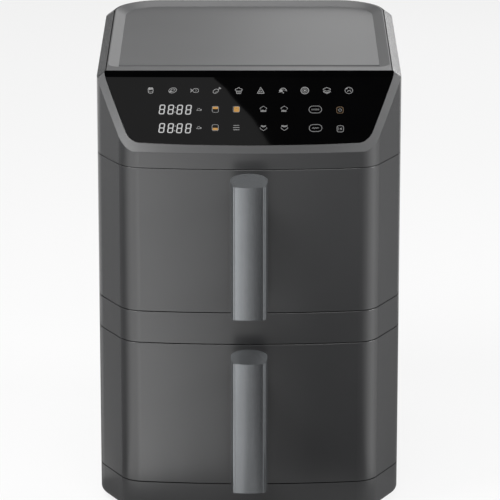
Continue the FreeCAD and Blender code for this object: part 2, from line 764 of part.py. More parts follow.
def temperature_probes():
    """A flanged probe through the back of each chamber."""
    probes = []
    wall = CHAMBER_BACK + SHEET
    for z0 in ZONES.values():
        z = chamber_top(z0) - PROBE_DROP
        stem = rod(PROBE_RADIUS, CHAMBER_BACK - PROBE_LENGTH, wall, PROBE_X, z)
        probes.append(join([stem, rod(PROBE_FLANGE_RADIUS, wall, wall + PROBE_FLANGE, PROBE_X, z)]))
    return group(probes)


# Fans and motors

def blade_wheel(radius, y0, width, blades, z):
    """A disc with straight blades round a hub, bored for the shaft."""
    y1 = y0 + width
    pieces = [rod(HUB_RADIUS, y0, y1, 0, 0), rod(radius, y1 - FAN_DISC, y1, 0, 0)]
    for i in range(blades):
        blade = box(HUB_RADIUS - FAN_BLADE, radius - FAN_BLADE, y0, y1, -FAN_BLADE / 2, FAN_BLADE / 2)
        blade.rotate(Vector(0, 0, 0), Vector(0, 1, 0), 360.0 * i / blades)
        pieces.append(blade)
    wheel = join(pieces).cut(rod(SHAFT_RADIUS + SHAFT_FIT, y0 - OVERCUT, y1 + OVERCUT, 0, 0))
    wheel.translate(Vector(0, 0, z))
    return wheel


def fan_wheel(z0):
    return blade_wheel(FAN_RADIUS, FAN_DEPTH, FAN_WIDTH, FAN_BLADES, fan_height(z0))


def cooling_fan(z0):
    start = CHAMBER_BACK + SHEET + COOLER_GAP
    return blade_wheel(COOLER_RADIUS, start, COOLER_WIDTH, COOLER_BLADES, fan_height(z0))


def fan_shaft(z0):
    return rod(SHAFT_RADIUS, FAN_DEPTH - SHAFT_END, MOTOR_DEPTH + MOTOR_LENGTH + SHAFT_END, 0, fan_height(z0))


def ear_places(z0):
    return [(x, fan_height(z0)) for x in both_sides(MOTOR_EAR_X)]


def motor_bracket(z0):
    """A plate on four posts that stand on the back of the chamber."""
    z = fan_height(z0)
    plate = tunnel(BRACKET_WIDTH / 2, z - BRACKET_HEIGHT / 2, z + BRACKET_HEIGHT / 2, BRACKET_CORNER,
                   BRACKET_DEPTH, MOTOR_DEPTH)
    legs = []
    for x in both_sides(BRACKET_WIDTH / 2 - BRACKET_CORNER):
        for rise in both_sides(BRACKET_HEIGHT / 2 - BRACKET_CORNER):
            legs.append(rod(BRACKET_POST_RADIUS, CHAMBER_BACK + SHEET, BRACKET_DEPTH, x, z + rise))
    front, back = BRACKET_DEPTH - OVERCUT, MOTOR_DEPTH + OVERCUT
    holes = [rod(SHAFT_HOLE_RADIUS, front, back, 0, z)]
    holes += [rod(SCREW_RADIUS + SCREW_FIT, front, back, x, h) for x, h in ear_places(z0)]
    return join([plate] + legs).cut(holes)


def motor(z0):
    """A round motor with two fixing ears, bored for the shaft."""
    z = fan_height(z0)
    ear_back = MOTOR_DEPTH + MOTOR_EAR_THICKNESS
    low, high = z - MOTOR_EAR_RADIUS, z + MOTOR_EAR_RADIUS
    bar = box(-MOTOR_EAR_X, MOTOR_EAR_X, MOTOR_DEPTH, ear_back, low, high)
    ends = [rod(MOTOR_EAR_RADIUS, MOTOR_DEPTH, ear_back, x, h) for x, h in ear_places(z0)]
    can = rod(MOTOR_RADIUS, MOTOR_DEPTH, MOTOR_DEPTH + MOTOR_LENGTH, 0, z)
    front, back = MOTOR_DEPTH - OVERCUT, MOTOR_DEPTH + MOTOR_LENGTH + OVERCUT
    holes = [rod(SHAFT_RADIUS + SHAFT_FIT, front, back, 0, z)]
    holes += [rod(SCREW_RADIUS + SCREW_FIT, front, ear_back + OVERCUT, x, h) for x, h in ear_places(z0)]
    return join([can, bar] + ends).cut(holes)


def motor_screws():
    screws = []
    seat = MOTOR_DEPTH + MOTOR_EAR_THICKNESS
    for z0 in ZONES.values():
        for x, z in ear_places(z0):
            head = rod(SCREW_HEAD_RADIUS, seat, seat + SCREW_HEAD, x, z)
            screws.append(join([head, rod(SCREW_RADIUS, seat - MOTOR_SCREW_BITE, seat + SCREW_HEAD, x, z)]))
    return group(screws)


# Door switches

def door_switches():
    """A switch on the back of the frame beside each opening, bored for its plunger."""
    bodies = []
    for z0 in ZONES.values():
        z = z0 + SWITCH_LIFT
        case = box(SWITCH_X - SWITCH_WIDTH / 2, SWITCH_X + SWITCH_WIDTH / 2, FRAME_BACK,
                   FRAME_BACK + SWITCH_DEPTH, z - SWITCH_HEIGHT / 2, z + SWITCH_HEIGHT / 2)
        end = DOOR_BACK + PLUNGER_SHOW + PLUNGER_LENGTH + PLUNGER_SHOW
        bodies.append(case.cut(rod(PLUNGER_RADIUS + PLUNGER_FIT, FRAME_BACK - OVERCUT, end, SWITCH_X, z)))
    return group(bodies)


def switch_plunger(z0):
    """The pin that the closed door holds in."""
    start = DOOR_BACK + PLUNGER_SHOW
    return rod(PLUNGER_RADIUS, start, start + PLUNGER_LENGTH, SWITCH_X, z0 + SWITCH_LIFT)


# Heat shields and the power board

def shield_height(z0):
    return chamber_top(z0) + SHEET + SHIELD_GAP


def heat_shield(z0):
    """A folded sheet that stands on the top of a chamber."""
    half = CHAMBER_HALF - SHIELD_INSET
    y0, y1 = FRAME_BACK + SHIELD_INSET, CHAMBER_BACK - SHIELD_INSET
    z = shield_height(z0)
    plate = box(-half, half, y0, y1, z, z + SHEET)
    folds = [box(-half, SHEET - half, y0, y1, chamber_top(z0) + SHEET, z)]
    folds.append(box(half - SHEET, half, y0, y1, chamber_top(z0) + SHEET, z))
    return join([plate] + folds)


def board_seat():
    return shield_height(UPPER_Z0) + SHEET + POWER_POST_HEIGHT


def top_heat_shield():
    """The shield over the upper chamber, with the posts that carry the power board."""
    x = POWER_BOARD_WIDTH / 2 - POWER_POST_INSET
    low = shield_height(UPPER_Z0)
    posts = []
    for side in both_sides(x):
        for y in (POWER_POST_INSET, POWER_BOARD_DEPTH - POWER_POST_INSET):
            posts.append(post(POWER_POST_RADIUS, low, board_seat(), side, POWER_BOARD_FRONT + y))
    return join([heat_shield(UPPER_Z0)] + posts)


def power_board():
    half, y0 = POWER_BOARD_WIDTH / 2, POWER_BOARD_FRONT
    return box(-half, half, y0, y0 + POWER_BOARD_DEPTH, board_seat(), board_seat() + BOARD_THICKNESS)


def power_parts():
    """Two relays, a transformer and two capacitors on the power board."""
    z = board_seat() + BOARD_THICKNESS
    middle = POWER_BOARD_FRONT + POWER_BOARD_DEPTH / 2
    half = TRANSFORMER_SIZE / 2
    parts = [box(-half, half, middle - half, middle + half, z, z + TRANSFORMER_HEIGHT)]
    for x in both_sides(PART_SPACING):
        y = middle - RELAY_LENGTH / 2
        parts.append(box(x - RELAY_WIDTH / 2, x + RELAY_WIDTH / 2, y, y + RELAY_LENGTH, z, z + RELAY_HEIGHT))
        beyond = x + math.copysign(RELAY_WIDTH / 2 + CAPACITOR_RADIUS + SHEET, x)
        parts.append(post(CAPACITOR_RADIUS, z, z + CAPACITOR_HEIGHT, beyond, middle))
    return group(parts)


# Drawers

def door_span(z0):
    return z0 + SEAM / 2, z0 + DRAWER_HEIGHT - SEAM / 2


def leg_spans(z0):
    """The heights between which each of the handle's two legs lies."""
    low = z0 + HANDLE_START + LEG_MARGIN
    high = z0 + HANDLE_TOP - HANDLE_CAP - LEG_MARGIN
    return [(low, low + LEG_HEIGHT), (high - LEG_HEIGHT, high)]


def handle_screw_heights(z0):
    return [(low + high) / 2 for low, high in leg_spans(z0)]


def door(z0):
    """The drawer's front: a shell that wraps round to the sides, open behind."""
    low, high = door_span(z0)
    shell = soften(prism(body_items(0), low, high), DOOR_EDGE_RADIUS, (low, high))
    hollow = prism(body_items(WALL), low + WALL, high - WALL)
    back = WALL + OVERCUT
    holes = [rod(SCREW_RADIUS + SCREW_FIT, -OVERCUT, back, 0, z) for z in handle_screw_heights(z0)]
    return shell.common(between(-BEYOND, DOOR_BACK)).cut([hollow] + holes)


def rivet_places(z0):
    middle = (basket_bottom(z0) + basket_top(z0)) / 2
    x = BASKET_HALF - RIVET_INSET
    return [(side, middle + rise) for side in both_sides(x) for rise in both_sides(RIVET_ROWS / 2)]


def door_liner(z0):
    """The plate that closes the back of the door and carries the basket."""
    low, high = door_span(z0)
    plate = prism(body_items(WALL + FIT), low + WALL + FIT, high - WALL - FIT)
    plate = plate.common(between(DOOR_BACK - LINER_THICKNESS, DOOR_BACK))
    holes = [rod(RIVET_RADIUS + SCREW_FIT, 0, SPLIT, x, z) for x, z in rivet_places(z0)]
    return plate.cut(holes)


def handle_outline(z):
    """The bar from above: a round back, sides that curve on from it, small shoulders and a crowned face."""
    half, shoulder, face = HANDLE_WIDTH / 2, HANDLE_SHOULDER_WIDTH / 2, HANDLE_FACE / 2
    widest = -(HANDLE_GAP + HANDLE_BACK)
    shoulder_y, face_y = HANDLE_SHOULDER - HANDLE_REACH, HANDLE_FACE_CROWN - HANDLE_REACH
    inset, depth = half - shoulder, widest - shoulder_y
    side_radius = (inset * inset + depth * depth) / (2 * inset)
    turn = math.asin(depth / side_radius) / 2
    side_x = half - side_radius * (1 - math.cos(turn))
    side_y = widest - side_radius * math.sin(turn)
    across, along = shoulder - face, shoulder_y - face_y
    length = math.hypot(across, along)
    bulge_x = (shoulder + face) / 2 + HANDLE_SHOULDER_BULGE * along / length
    bulge_y = (shoulder_y + face_y) / 2 - HANDLE_SHOULDER_BULGE * across / length

    def point(x, y):
        return Vector(x, y, z)

    ellipse = Part.Ellipse(point(0, widest), half, HANDLE_BACK)
    curves = [
        Part.ArcOfEllipse(ellipse, 0, math.pi),
        Part.Arc(point(-half, widest), point(-side_x, side_y), point(-shoulder, shoulder_y)),
        Part.Arc(point(-shoulder, shoulder_y), point(-bulge_x, bulge_y), point(-face, face_y)),
        Part.Arc(point(-face, face_y), point(0, -HANDLE_REACH), point(face, face_y)),
        Part.Arc(point(face, face_y), point(bulge_x, bulge_y), point(shoulder, shoulder_y)),
        Part.Arc(point(shoulder, shoulder_y), point(side_x, side_y), point(half, widest)),
    ]
    return Part.Wire([curve.toShape() for curve in curves])


def under_facet(z0, sink):
    """All the space under the handle's slanted top, sunk by that much."""
    rise = math.tan(math.radians(HANDLE_TOP_ANGLE))
    front = -HANDLE_REACH - BEYOND
    level = z0 + HANDLE_TOP - sink
    outline = [(front, level - BEYOND * rise), (BEYOND, level + (HANDLE_REACH + BEYOND) * rise)]
    return side_prism(outline + [(BEYOND, -BEYOND), (front, -BEYOND)], HALF_WIDTH)


def handle_bar(z0):
    low = z0 + HANDLE_START
    tall = Part.Face(handle_outline(low)).extrude(Vector(0, 0, DRAWER_HEIGHT + BEYOND))
    return tall.common(under_facet(z0, 0))


def handle_rear(z0):
    """The rear half of the bar, below its cap."""
    rear = between(-(HANDLE_GAP + HANDLE_BACK), 0)
    return handle_bar(z0).common(rear).common(under_facet(z0, HANDLE_CAP))


def handle_grip(z0):
    """The bright front shell of the handle, with the cap that closes its slanted top."""
    half = HANDLE_FACE / 2 - HANDLE_SHELL
    face = HANDLE_SHELL + HANDLE_FACE_CROWN - HANDLE_REACH
    low = z0 + HANDLE_START + HANDLE_SHELL
    high = z0 + HANDLE_TOP - HANDLE_CAP - HANDLE_SHELL
    cavity = box(-half, half, face, -(HANDLE_GAP + HANDLE_BACK), low, high)
    return handle_bar(z0).cut(handle_rear(z0)).cut(cavity)


def handle_core(z0):
    """The dark rear half of the handle, with the two legs that stand on the door."""
    legs = []
    for low, high in leg_spans(z0):
        legs.append(tunnel(LEG_WIDTH / 2, low, high, LEG_WIDTH / 4, -(HANDLE_GAP + HANDLE_BACK), 0))
    front = -HANDLE_SCREW_BITE - OVERCUT
    holes = [rod(SCREW_RADIUS + SCREW_FIT, front, OVERCUT, 0, z) for z in handle_screw_heights(z0)]
    return join([handle_rear(z0)] + legs).cut(holes)


def handle_screws(z0):
    """Screws from inside the door into the handle's legs."""
    screws = []
    seat = WALL + SCREW_FIT
    for z in handle_screw_heights(z0):
        head = rod(SCREW_HEAD_RADIUS, seat, seat + SCREW_HEAD, 0, z)
        screws.append(join([head, rod(SCREW_RADIUS, -HANDLE_SCREW_BITE, seat + SCREW_HEAD, 0, z)]))
    return group(screws)


def basket_bottom(z0):
    return chamber_floor(z0) + RUNNER_HEIGHT + FIT


def basket_top(z0):
    return chamber_top(z0) - BASKET_TOP_GAP


def basket(z0):
    """An open pan with a rim, and slots behind that let the hot air in."""
    low, high = basket_bottom(z0), basket_top(z0)
    round_outer = BASKET_CORNER / 2
    outer = rounded_block(BASKET_HALF, DOOR_BACK, BASKET_BACK, BASKET_CORNER, low, high)
    outer = soften(outer, round_outer, (low,))
    rim = rounded_block(BASKET_HALF + BASKET_RIM, DOOR_BACK, BASKET_BACK + BASKET_RIM, BASKET_CORNER,
                        high - BASKET_WALL, high)
    inner = rounded_block(BASKET_HALF - BASKET_WALL, DOOR_BACK + BASKET_WALL, BASKET_BACK - BASKET_WALL,
                          BASKET_CORNER - BASKET_WALL, low + BASKET_WALL, high + BEYOND)
    inner = soften(inner, round_outer - BASKET_WALL, (low + BASKET_WALL,))
    cuts = [inner]
    for i in range(BASKET_VENT_COUNT):
        x = (i - (BASKET_VENT_COUNT - 1) / 2) * BASKET_VENT_PITCH
        top = high - BASKET_VENT_DROP
        cuts.append(box(x - BASKET_VENT_WIDTH / 2, x + BASKET_VENT_WIDTH / 2, BASKET_BACK - 2 * BASKET_WALL,
                        BASKET_BACK + OVERCUT, top - BASKET_VENT_HEIGHT, top))
    cuts += [rod(RIVET_RADIUS + SCREW_FIT, 0, DOOR_BACK + 2 * BASKET_WALL, x, z) for x, z in rivet_places(z0)]
    return join([outer, rim]).cut(cuts)


def basket_rivets(z0):
    """Rivets that hold the basket on the door's liner."""
    rivets = []
    inside, outside = DOOR_BACK + BASKET_WALL, DOOR_BACK - LINER_THICKNESS
    for x, z in rivet_places(z0):
        shank = rod(RIVET_RADIUS, outside - RIVET_HEAD, inside + RIVET_HEAD, x, z)
        heads = [rod(RIVET_HEAD_RADIUS, inside, inside + RIVET_HEAD, x, z)]
        heads.append(rod(RIVET_HEAD_RADIUS, outside - RIVET_HEAD, outside, x, z))
        rivets.append(join([shank] + heads))
    return group(rivets)


def crisper_span():
    """Half width, front and back of the crisper plate."""
    gap = BASKET_WALL + CRISPER_GAP
    return BASKET_HALF - gap, DOOR_BACK + gap, BASKET_BACK - gap


def crisper_seat(z0):
    return basket_bottom(z0) + BASKET_WALL + FIT


def crisper_leg_places():
    half, front, back = crisper_span()
    inset = CRISPER_LEG_INSET
    return [(x, y) for x in both_sides(half - inset) for y in (front + inset, back - inset)]


def crisper_plate(z0):
    """A slotted plate on four legs, loose in the basket."""
    half, front, back = crisper_span()
    low = crisper_seat(z0) + CRISPER_LIFT
    corner = BASKET_CORNER - BASKET_WALL - CRISPER_GAP
    plate = rounded_block(half, front, back, corner, low, low + CRISPER_THICKNESS)
    legs = [post(CRISPER_LEG_RADIUS, crisper_seat(z0) + CRISPER_FOOT_FLOOR, low, x, y)
            for x, y in crisper_leg_places()]
    keep = CRISPER_LEG_RADIUS + CRISPER_SLOT_WIDTH
    middle = (front + back) / 2
    columns = int((half - CRISPER_SLOT_MARGIN) / CRISPER_SLOT_PITCH)
    rows = int(((back - front) / 2 - CRISPER_SLOT_MARGIN - CRISPER_SLOT_LENGTH / 2) / CRISPER_SLOT_STEP)
    slots = []
    for i in range(-columns, columns + 1):
        for k in range(-rows, rows + 1):
            x, y = i * CRISPER_SLOT_PITCH, middle + k * CRISPER_SLOT_STEP
            reach = CRISPER_SLOT_LENGTH / 2 + keep
            if any(abs(x - a) < keep and abs(y - b) < reach for a, b in crisper_leg_places()):
                continue
            half_slot = CRISPER_SLOT_LENGTH / 2
            slot = rounded_block(CRISPER_SLOT_WIDTH / 2, y - half_slot, y + half_slot, CRISPER_SLOT_CORNER,
                                 low - OVERCUT, low + CRISPER_THICKNESS + OVERCUT)
            slot.translate(Vector(x, 0, 0))
            slots.append(slot)
    return join([plate.cut(slots)] + legs)


def crisper_feet(z0):
    """A soft cap on each leg of the crisper plate."""
    caps = []
    seat = crisper_seat(z0)
    for x, y in crisper_leg_places():
        cap = post(CRISPER_LEG_RADIUS + CRISPER_FOOT_WALL, seat, seat + CRISPER_FOOT_HEIGHT, x, y)
        bore = post(CRISPER_LEG_RADIUS + SCREW_FIT, seat + CRISPER_FOOT_FLOOR, seat + BEYOND, x, y)
        caps.append(cap.cut(bore))
    return group(caps)


# The whole appliance, one solid or group of solids for each name

FIXED = [
    left_side_panel, right_side_panel, back_panel, top_cover, control_housing, control_glass,
    control_board, digit_displays, indicator_leds, front_frame, mid_band, base_pan, feet, foot_screws,
    cord_gland, basket_runners, temperature_probes, motor_screws, door_switches, top_heat_shield,
    power_board, power_parts,
]
IN_EACH_ZONE = [
    chamber, heater_guard, heater, motor_bracket, motor, fan_wheel, fan_shaft, cooling_fan, switch_plunger,
    door, door_liner, handle_grip, handle_core, handle_screws, basket, basket_rivets, crisper_plate,
    crisper_feet,
]


def save(name, shape):
    """Moves a piece so that the origin is under the middle of the whole, and writes it."""
    shape = shape.copy()
    shape.translate(Vector(0, FRONT_Y, 0))
    if not shape.isValid():
        raise ValueError(name + " isn't a valid solid")
    shape.exportStep("parts/" + name + ".step")
    b = shape.BoundBox
    print(f"{name:24s} solids {len(shape.Solids):2d}  volume {shape.Volume / 1000:9.2f} cm3  "
          f"x {b.XMin:7.1f} {b.XMax:7.1f}  y {b.YMin:7.1f} {b.YMax:7.1f}  z {b.ZMin:6.1f} {b.ZMax:6.1f}")


os.makedirs("parts", exist_ok=True)
for make in FIXED:
    save(make.__name__, make())
save("middle_heat_shield", heat_shield(LOWER_Z0))
for zone, z0 in ZONES.items():
    for make in IN_EACH_ZONE:
        save(zone + "_" + make.__name__, make(z0))
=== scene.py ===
# %% [markdown]
# # A stacked two-drawer air fryer
#
# The solid parts of this appliance come ready made, each in its place, in metres, with Z up and the
# front towards -Y. This lesson gives every part its finish, draws the touch panel's lit symbols, and
# sets up a small photo studio around the appliance. We start by loading the parts.

import json
import math

import bpy
import numpy as np
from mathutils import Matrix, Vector


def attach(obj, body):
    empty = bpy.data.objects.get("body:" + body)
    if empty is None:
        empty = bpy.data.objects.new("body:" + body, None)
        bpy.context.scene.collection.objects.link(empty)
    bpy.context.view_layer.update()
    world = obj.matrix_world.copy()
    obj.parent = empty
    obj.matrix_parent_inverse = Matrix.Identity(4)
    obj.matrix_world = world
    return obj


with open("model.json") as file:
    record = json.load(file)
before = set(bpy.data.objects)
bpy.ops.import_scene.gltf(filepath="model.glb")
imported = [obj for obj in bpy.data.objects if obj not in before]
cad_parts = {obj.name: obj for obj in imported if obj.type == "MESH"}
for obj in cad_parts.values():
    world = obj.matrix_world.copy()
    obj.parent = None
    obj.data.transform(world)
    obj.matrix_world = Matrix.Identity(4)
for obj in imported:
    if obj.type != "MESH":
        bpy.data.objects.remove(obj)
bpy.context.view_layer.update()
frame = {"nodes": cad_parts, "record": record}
MM = 0.001

# %% [markdown]
# ## Writing finishes as formulas
#
# A material in Blender is a tree of nodes. Small trees are easy to draw by hand, but a formula such
# as `0.4 + 0.1 * grain` is easier to read as text. The class below wraps one output socket. Adding or
# multiplying two of them adds a Math node, and every other node is made by one method.

# %% A value that varies over a surface
class Field:
    """One output of a node in a material: a number, colour, direction or shader that can vary."""

    def __init__(self, tree, socket=None):
        self.tree = tree
        self.socket = socket

    def node(self, kind, settings=None, sockets=None, output=0):
        """Adds a node, sets its settings, then its sockets, and returns the chosen output."""
        made = self.tree.nodes.new(kind)
        for name, value in (settings or {}).items():
            setattr(made, name, value)
        for name, value in (sockets or {}).items():
            if isinstance(value, Field):
                self.tree.links.new(value.socket, made.inputs[name])
            else:
                made.inputs[name].default_value = value
        return Field(self.tree, made.outputs[output] if made.outputs else None)

    def math(self, operation, first, second):
        """A Math node over two values, each a number or a field."""
        return self.node("ShaderNodeMath", {"operation": operation}, {0: first, 1: second})

    def __add__(self, other):
        return self.math("ADD", self, other)

    def __sub__(self, other):
        return self.math("SUBTRACT", self, other)

    def __rsub__(self, other):
        return self.math("SUBTRACT", other, self)

    def __mul__(self, other):
        return self.math("MULTIPLY", self, other)

    __radd__ = __add__
    __rmul__ = __mul__


def grey_scaled(colour, factor):
    """The colour times a factor, at most 1, with an alpha of 1."""
    return tuple(min(1.0, channel * factor) for channel in colour) + (1.0,)


print("fields ready")

# %% [markdown]
# ## Pieces that all finishes share
#
# Real surfaces are never one flat value. Moulded plastic has a fine eroded grain and a faint mottle,
# sheet steel has rolling lines, and coatings have specks. All of these start from noise that is read
# from each part's own coordinates, so the pattern stays with the part when a drawer is pulled out.

# %% Start, vary and close a finish
FINE_DETAIL = 3.0
UNSTRETCHED = (1.0, 1.0, 1.0)


def start_finish(name):
    """A new material, with the field that its nodes grow from and the place on the part, in metres."""
    material = bpy.data.materials.new(name)
    material.use_nodes = True
    material.node_tree.nodes.clear()
    root = Field(material.node_tree)
    return material, root, root.node("ShaderNodeTexCoord", output="Object")


def grain(place, size, detail=2.0, stretch=UNSTRETCHED):
    """Noise from 0 to 1 whose lumps are about `size` millimetres wide, drawn out by 1 / stretch."""
    if stretch != UNSTRETCHED:
        place = place.node("ShaderNodeMapping", {}, {"Vector": place, "Scale": stretch}, "Vector")
    sockets = {"Vector": place, "Scale": 1 / (size * MM), "Detail": detail}
    return place.node("ShaderNodeTexNoise", {}, sockets, "Fac")


def step_up(value, low, high):
    """A smooth step: 0 below `low`, 1 above `high`."""
    sockets = {"Value": value, "From Min": low, "From Max": high}
    return value.node("ShaderNodeMapRange", {"interpolation_type": "SMOOTHSTEP"}, sockets, "Result")


def blend(factor, first, second):
    """first where the factor is 0, second where it is 1."""
    return factor.node("ShaderNodeMix", {"data_type": "RGBA"}, {0: factor, 6: first, 7: second}, 2)


def relief(height, depth, strength):
    """The surface direction over a relief of that height, `depth` millimetres from lowest to highest."""
    sockets = {"Height": height, "Distance": depth * MM, "Strength": strength}
    return height.node("ShaderNodeBump", {}, sockets, "Normal")


def close_finish(root, base, roughness, **more):
    """Ends a finish in one surface shader. A key such as Coat_Weight names the socket Coat Weight."""
    sockets = {"Base Color": base, "Roughness": roughness}
    sockets.update({key.replace("_", " "): value for key, value in more.items()})
    shader = root.node("ShaderNodeBsdfPrincipled", {}, sockets, "BSDF")
    root.node("ShaderNodeOutputMaterial", {}, {"Surface": shader})


print("finish helpers ready")

# %% [markdown]
# ## Moulded plastic
#
# The body, doors and trim are moulded from dark grey plastic with a satin surface. Up close it has a
# fine eroded grain about a third of a millimetre wide, and over a hand's width it is a little uneven.
# The colour is one grey that both noises lighten and darken by a few percent; the grain also drives a
# shallow relief. One function serves every plastic and rubber part, each with its own colour and gloss.

# %% Moulded plastic and rubber
MOTTLE_SIZE = 60.0
SHADE_LOW = 0.3
SHADE_HIGH = 0.7
GRAIN_STRENGTH = 0.5
SATIN_IOR = 1.7


def moulded(name, colour, gloss, grain_size=0.35, grain_depth=0.012, mottle=0.05, **more):
    """Plastic or rubber whose colour and gloss follow its grain.

    Colour = colour * (1 +- mottle), by a smooth step over the mean of a wide noise and the grain.
    Roughness = gloss * (0.92 + 0.16 * grain).
    """
    material, root, place = start_finish(name)
    wide = grain(place, MOTTLE_SIZE)
    fine = grain(place, grain_size, FINE_DETAIL)
    shade = step_up(0.5 * wide + 0.5 * fine, SHADE_LOW, SHADE_HIGH)
    base = blend(shade, grey_scaled(colour, 1 - mottle), grey_scaled(colour, 1 + mottle))
    rough = gloss * 0.92 + (gloss * 0.16) * fine
    close_finish(root, base, rough, Normal=relief(fine, grain_depth, GRAIN_STRENGTH), **more)
    return material


finishes = {
    "body_plastic": moulded("satin_grey_body", (0.05, 0.0505, 0.052), 0.22, IOR=SATIN_IOR),
    "front_plastic": moulded("satin_grey_front", (0.05, 0.0505, 0.052), 0.26, IOR=SATIN_IOR),
    "top_plastic": moulded("satin_grey_top", (0.06, 0.0605, 0.062), 0.38, IOR=SATIN_IOR),
    "handle_plastic": moulded("matt_black_handle", (0.03, 0.031, 0.033), 0.45),
    "liner_plastic": moulded("matt_black_liner", (0.018, 0.018, 0.019), 0.5),
    "gland_plastic": moulded("matt_black_bush", (0.014, 0.014, 0.015), 0.5),
    "switch_plastic": moulded("matt_black_switch", (0.02, 0.02, 0.02), 0.45),
    "plunger_plastic": moulded("red_plunger", (0.52, 0.045, 0.03), 0.38),
    "foot_rubber": moulded("black_rubber", (0.014, 0.014, 0.014), 0.75, grain_size=0.8, grain_depth=0.03),
    "crisper_rubber": moulded("black_silicone", (0.026, 0.026, 0.026), 0.6, grain_size=0.8, grain_depth=0.02),
    "display": moulded("smoked_display", (0.016, 0.016, 0.018), 0.12,
                       grain_size=2.0, grain_depth=0.0, mottle=0.15),
    "lamp": moulded("milky_lamp", (0.76, 0.76, 0.72), 0.3, grain_size=1.0, grain_depth=0.005, mottle=0.04),
    "board_parts": moulded("black_board_parts", (0.028, 0.028, 0.032), 0.28, grain_size=0.6),
}
print("moulded finishes:", len(finishes))

# %% [markdown]
# ## Metals
#
# The handle bars are gunmetal with a fine upright brushing; the oven's sheets are plain rolled steel
# and the fixings are zinc plated. All of them are metallic shaders whose colour and roughness follow
# noise that is drawn out along the brushing, like the streaks that a belt leaves.

# %% Brushed and rolled metal
ALONG_STREAKS = 0.05
CLOUD_SIZE = 45.0
STREAK_STRENGTH = 0.35


def brushed(name, colour, gloss, along, streak=0.4, contrast=0.1, metallic=1.0, bite=0.006):
    """Metal with streaks, which are noise stretched twenty times along one axis.

    Colour = colour * (1 +- contrast), by a smooth step over 0.6 * streaks + 0.4 * a wide cloud.
    Roughness = gloss * (0.85 + 0.3 * streaks).
    """
    material, root, place = start_finish(name)
    stretch = tuple(ALONG_STREAKS if axis == along else 1.0 for axis in "XYZ")
    streaks = grain(place, streak, FINE_DETAIL, stretch)
    cloud = grain(place, CLOUD_SIZE)
    shade = step_up(0.6 * streaks + 0.4 * cloud, SHADE_LOW, SHADE_HIGH)
    base = blend(shade, grey_scaled(colour, 1 - contrast), grey_scaled(colour, 1 + contrast))
    rough = gloss * 0.85 + (gloss * 0.3) * streaks
    close_finish(root, base, rough, Metallic=metallic, Normal=relief(streaks, bite, STREAK_STRENGTH))
    return material


finishes.update({
    "handle_metal": brushed("gunmetal_grip", (0.258, 0.27, 0.281), 0.24, "Z",
                            streak=0.3, contrast=0.05, metallic=0.85, bite=0.0015),
    "sheet_steel": brushed("rolled_steel", (0.5, 0.5, 0.49), 0.34, "X"),
    "fixing_steel": brushed("zinc_plate", (0.56, 0.56, 0.54), 0.3, "Z", streak=0.6),
    "fan_metal": brushed("fan_aluminium", (0.6, 0.6, 0.6), 0.32, "X"),
    "rivet_metal": brushed("rivet_aluminium", (0.62, 0.62, 0.62), 0.3, "X", streak=0.6),
    "motor_metal": brushed("painted_motor_can", (0.25, 0.25, 0.26), 0.4, "Y",
                           streak=0.5, contrast=0.06, metallic=0.6),
})
print("moulded and metal finishes:", len(finishes))

# %% [markdown]
# ## Heater, coating, circuit boards and glass
#
# The heater's tube has blue and straw patches where it has glowed. The basket and its plate carry a
# black non-stick coating with pale specks: noise above a threshold, so only its peaks show. The boards
# are green laminate with paler copper tracks, which are the joints of a brick pattern. The panel glass
# is near black and almost mirror smooth, with a faint haze. Along its upper edge a plain matt black
# diffuse shader takes the place of the glass, so that strip mirrors nothing.

# %% Special finishes
PATCH_SIZE = 25.0
SPECK_SIZE = 1.1
SOOT_SIZE = 0.5
TRACK_SCALE = 180.0
TRACK_WIDTH = 0.03
BOARD_GRAIN = 2.0
HAZE_SIZE = 30.0
GLASS_MARGIN = 0.4101
MARGIN_BLUR = 0.3


def heat_tinted(name):
    """Straw where a wide noise is low and blue where it is high; roughness = 0.4 + 0.2 * grain."""
    material, root, place = start_finish(name)
    patches = step_up(grain(place, PATCH_SIZE), 0.35, 0.65)
    base = blend(patches, (0.16, 0.12, 0.085, 1.0), (0.15, 0.16, 0.2, 1.0))
    fine = grain(place, SOOT_SIZE, FINE_DETAIL)
    close_finish(root, base, 0.4 + 0.2 * fine, Metallic=0.9, Normal=relief(fine, 0.01, 0.4))
    return material


def speckled_coating(name):
    """Black, with pale specks where a noise is above about 0.7; roughness = 0.34 + 0.16 * grain."""
    material, root, place = start_finish(name)
    specks = step_up(grain(place, SPECK_SIZE, 1.0), 0.66, 0.72)
    base = blend(specks, (0.017, 0.017, 0.018, 1.0), (0.09, 0.09, 0.092, 1.0))
    fine = grain(place, SOOT_SIZE, FINE_DETAIL)
    close_finish(root, base, 0.34 + 0.16 * fine, Normal=relief(fine, 0.02, 0.5))
    return material


def laminate(name):
    """Green, paler on the joints of a brick pattern, which stand up; roughness = 0.35 + 0.15 * noise."""
    material, root, place = start_finish(name)
    sockets = {"Vector": place, "Scale": TRACK_SCALE, "Mortar Size": TRACK_WIDTH}
    tracks = place.node("ShaderNodeTexBrick", {}, sockets, "Fac")
    base = blend(tracks, (0.012, 0.085, 0.035, 1.0), (0.05, 0.2, 0.09, 1.0))
    close_finish(root, base, 0.35 + 0.15 * grain(place, BOARD_GRAIN), Normal=relief(tracks, 0.03, 0.4))
    return material


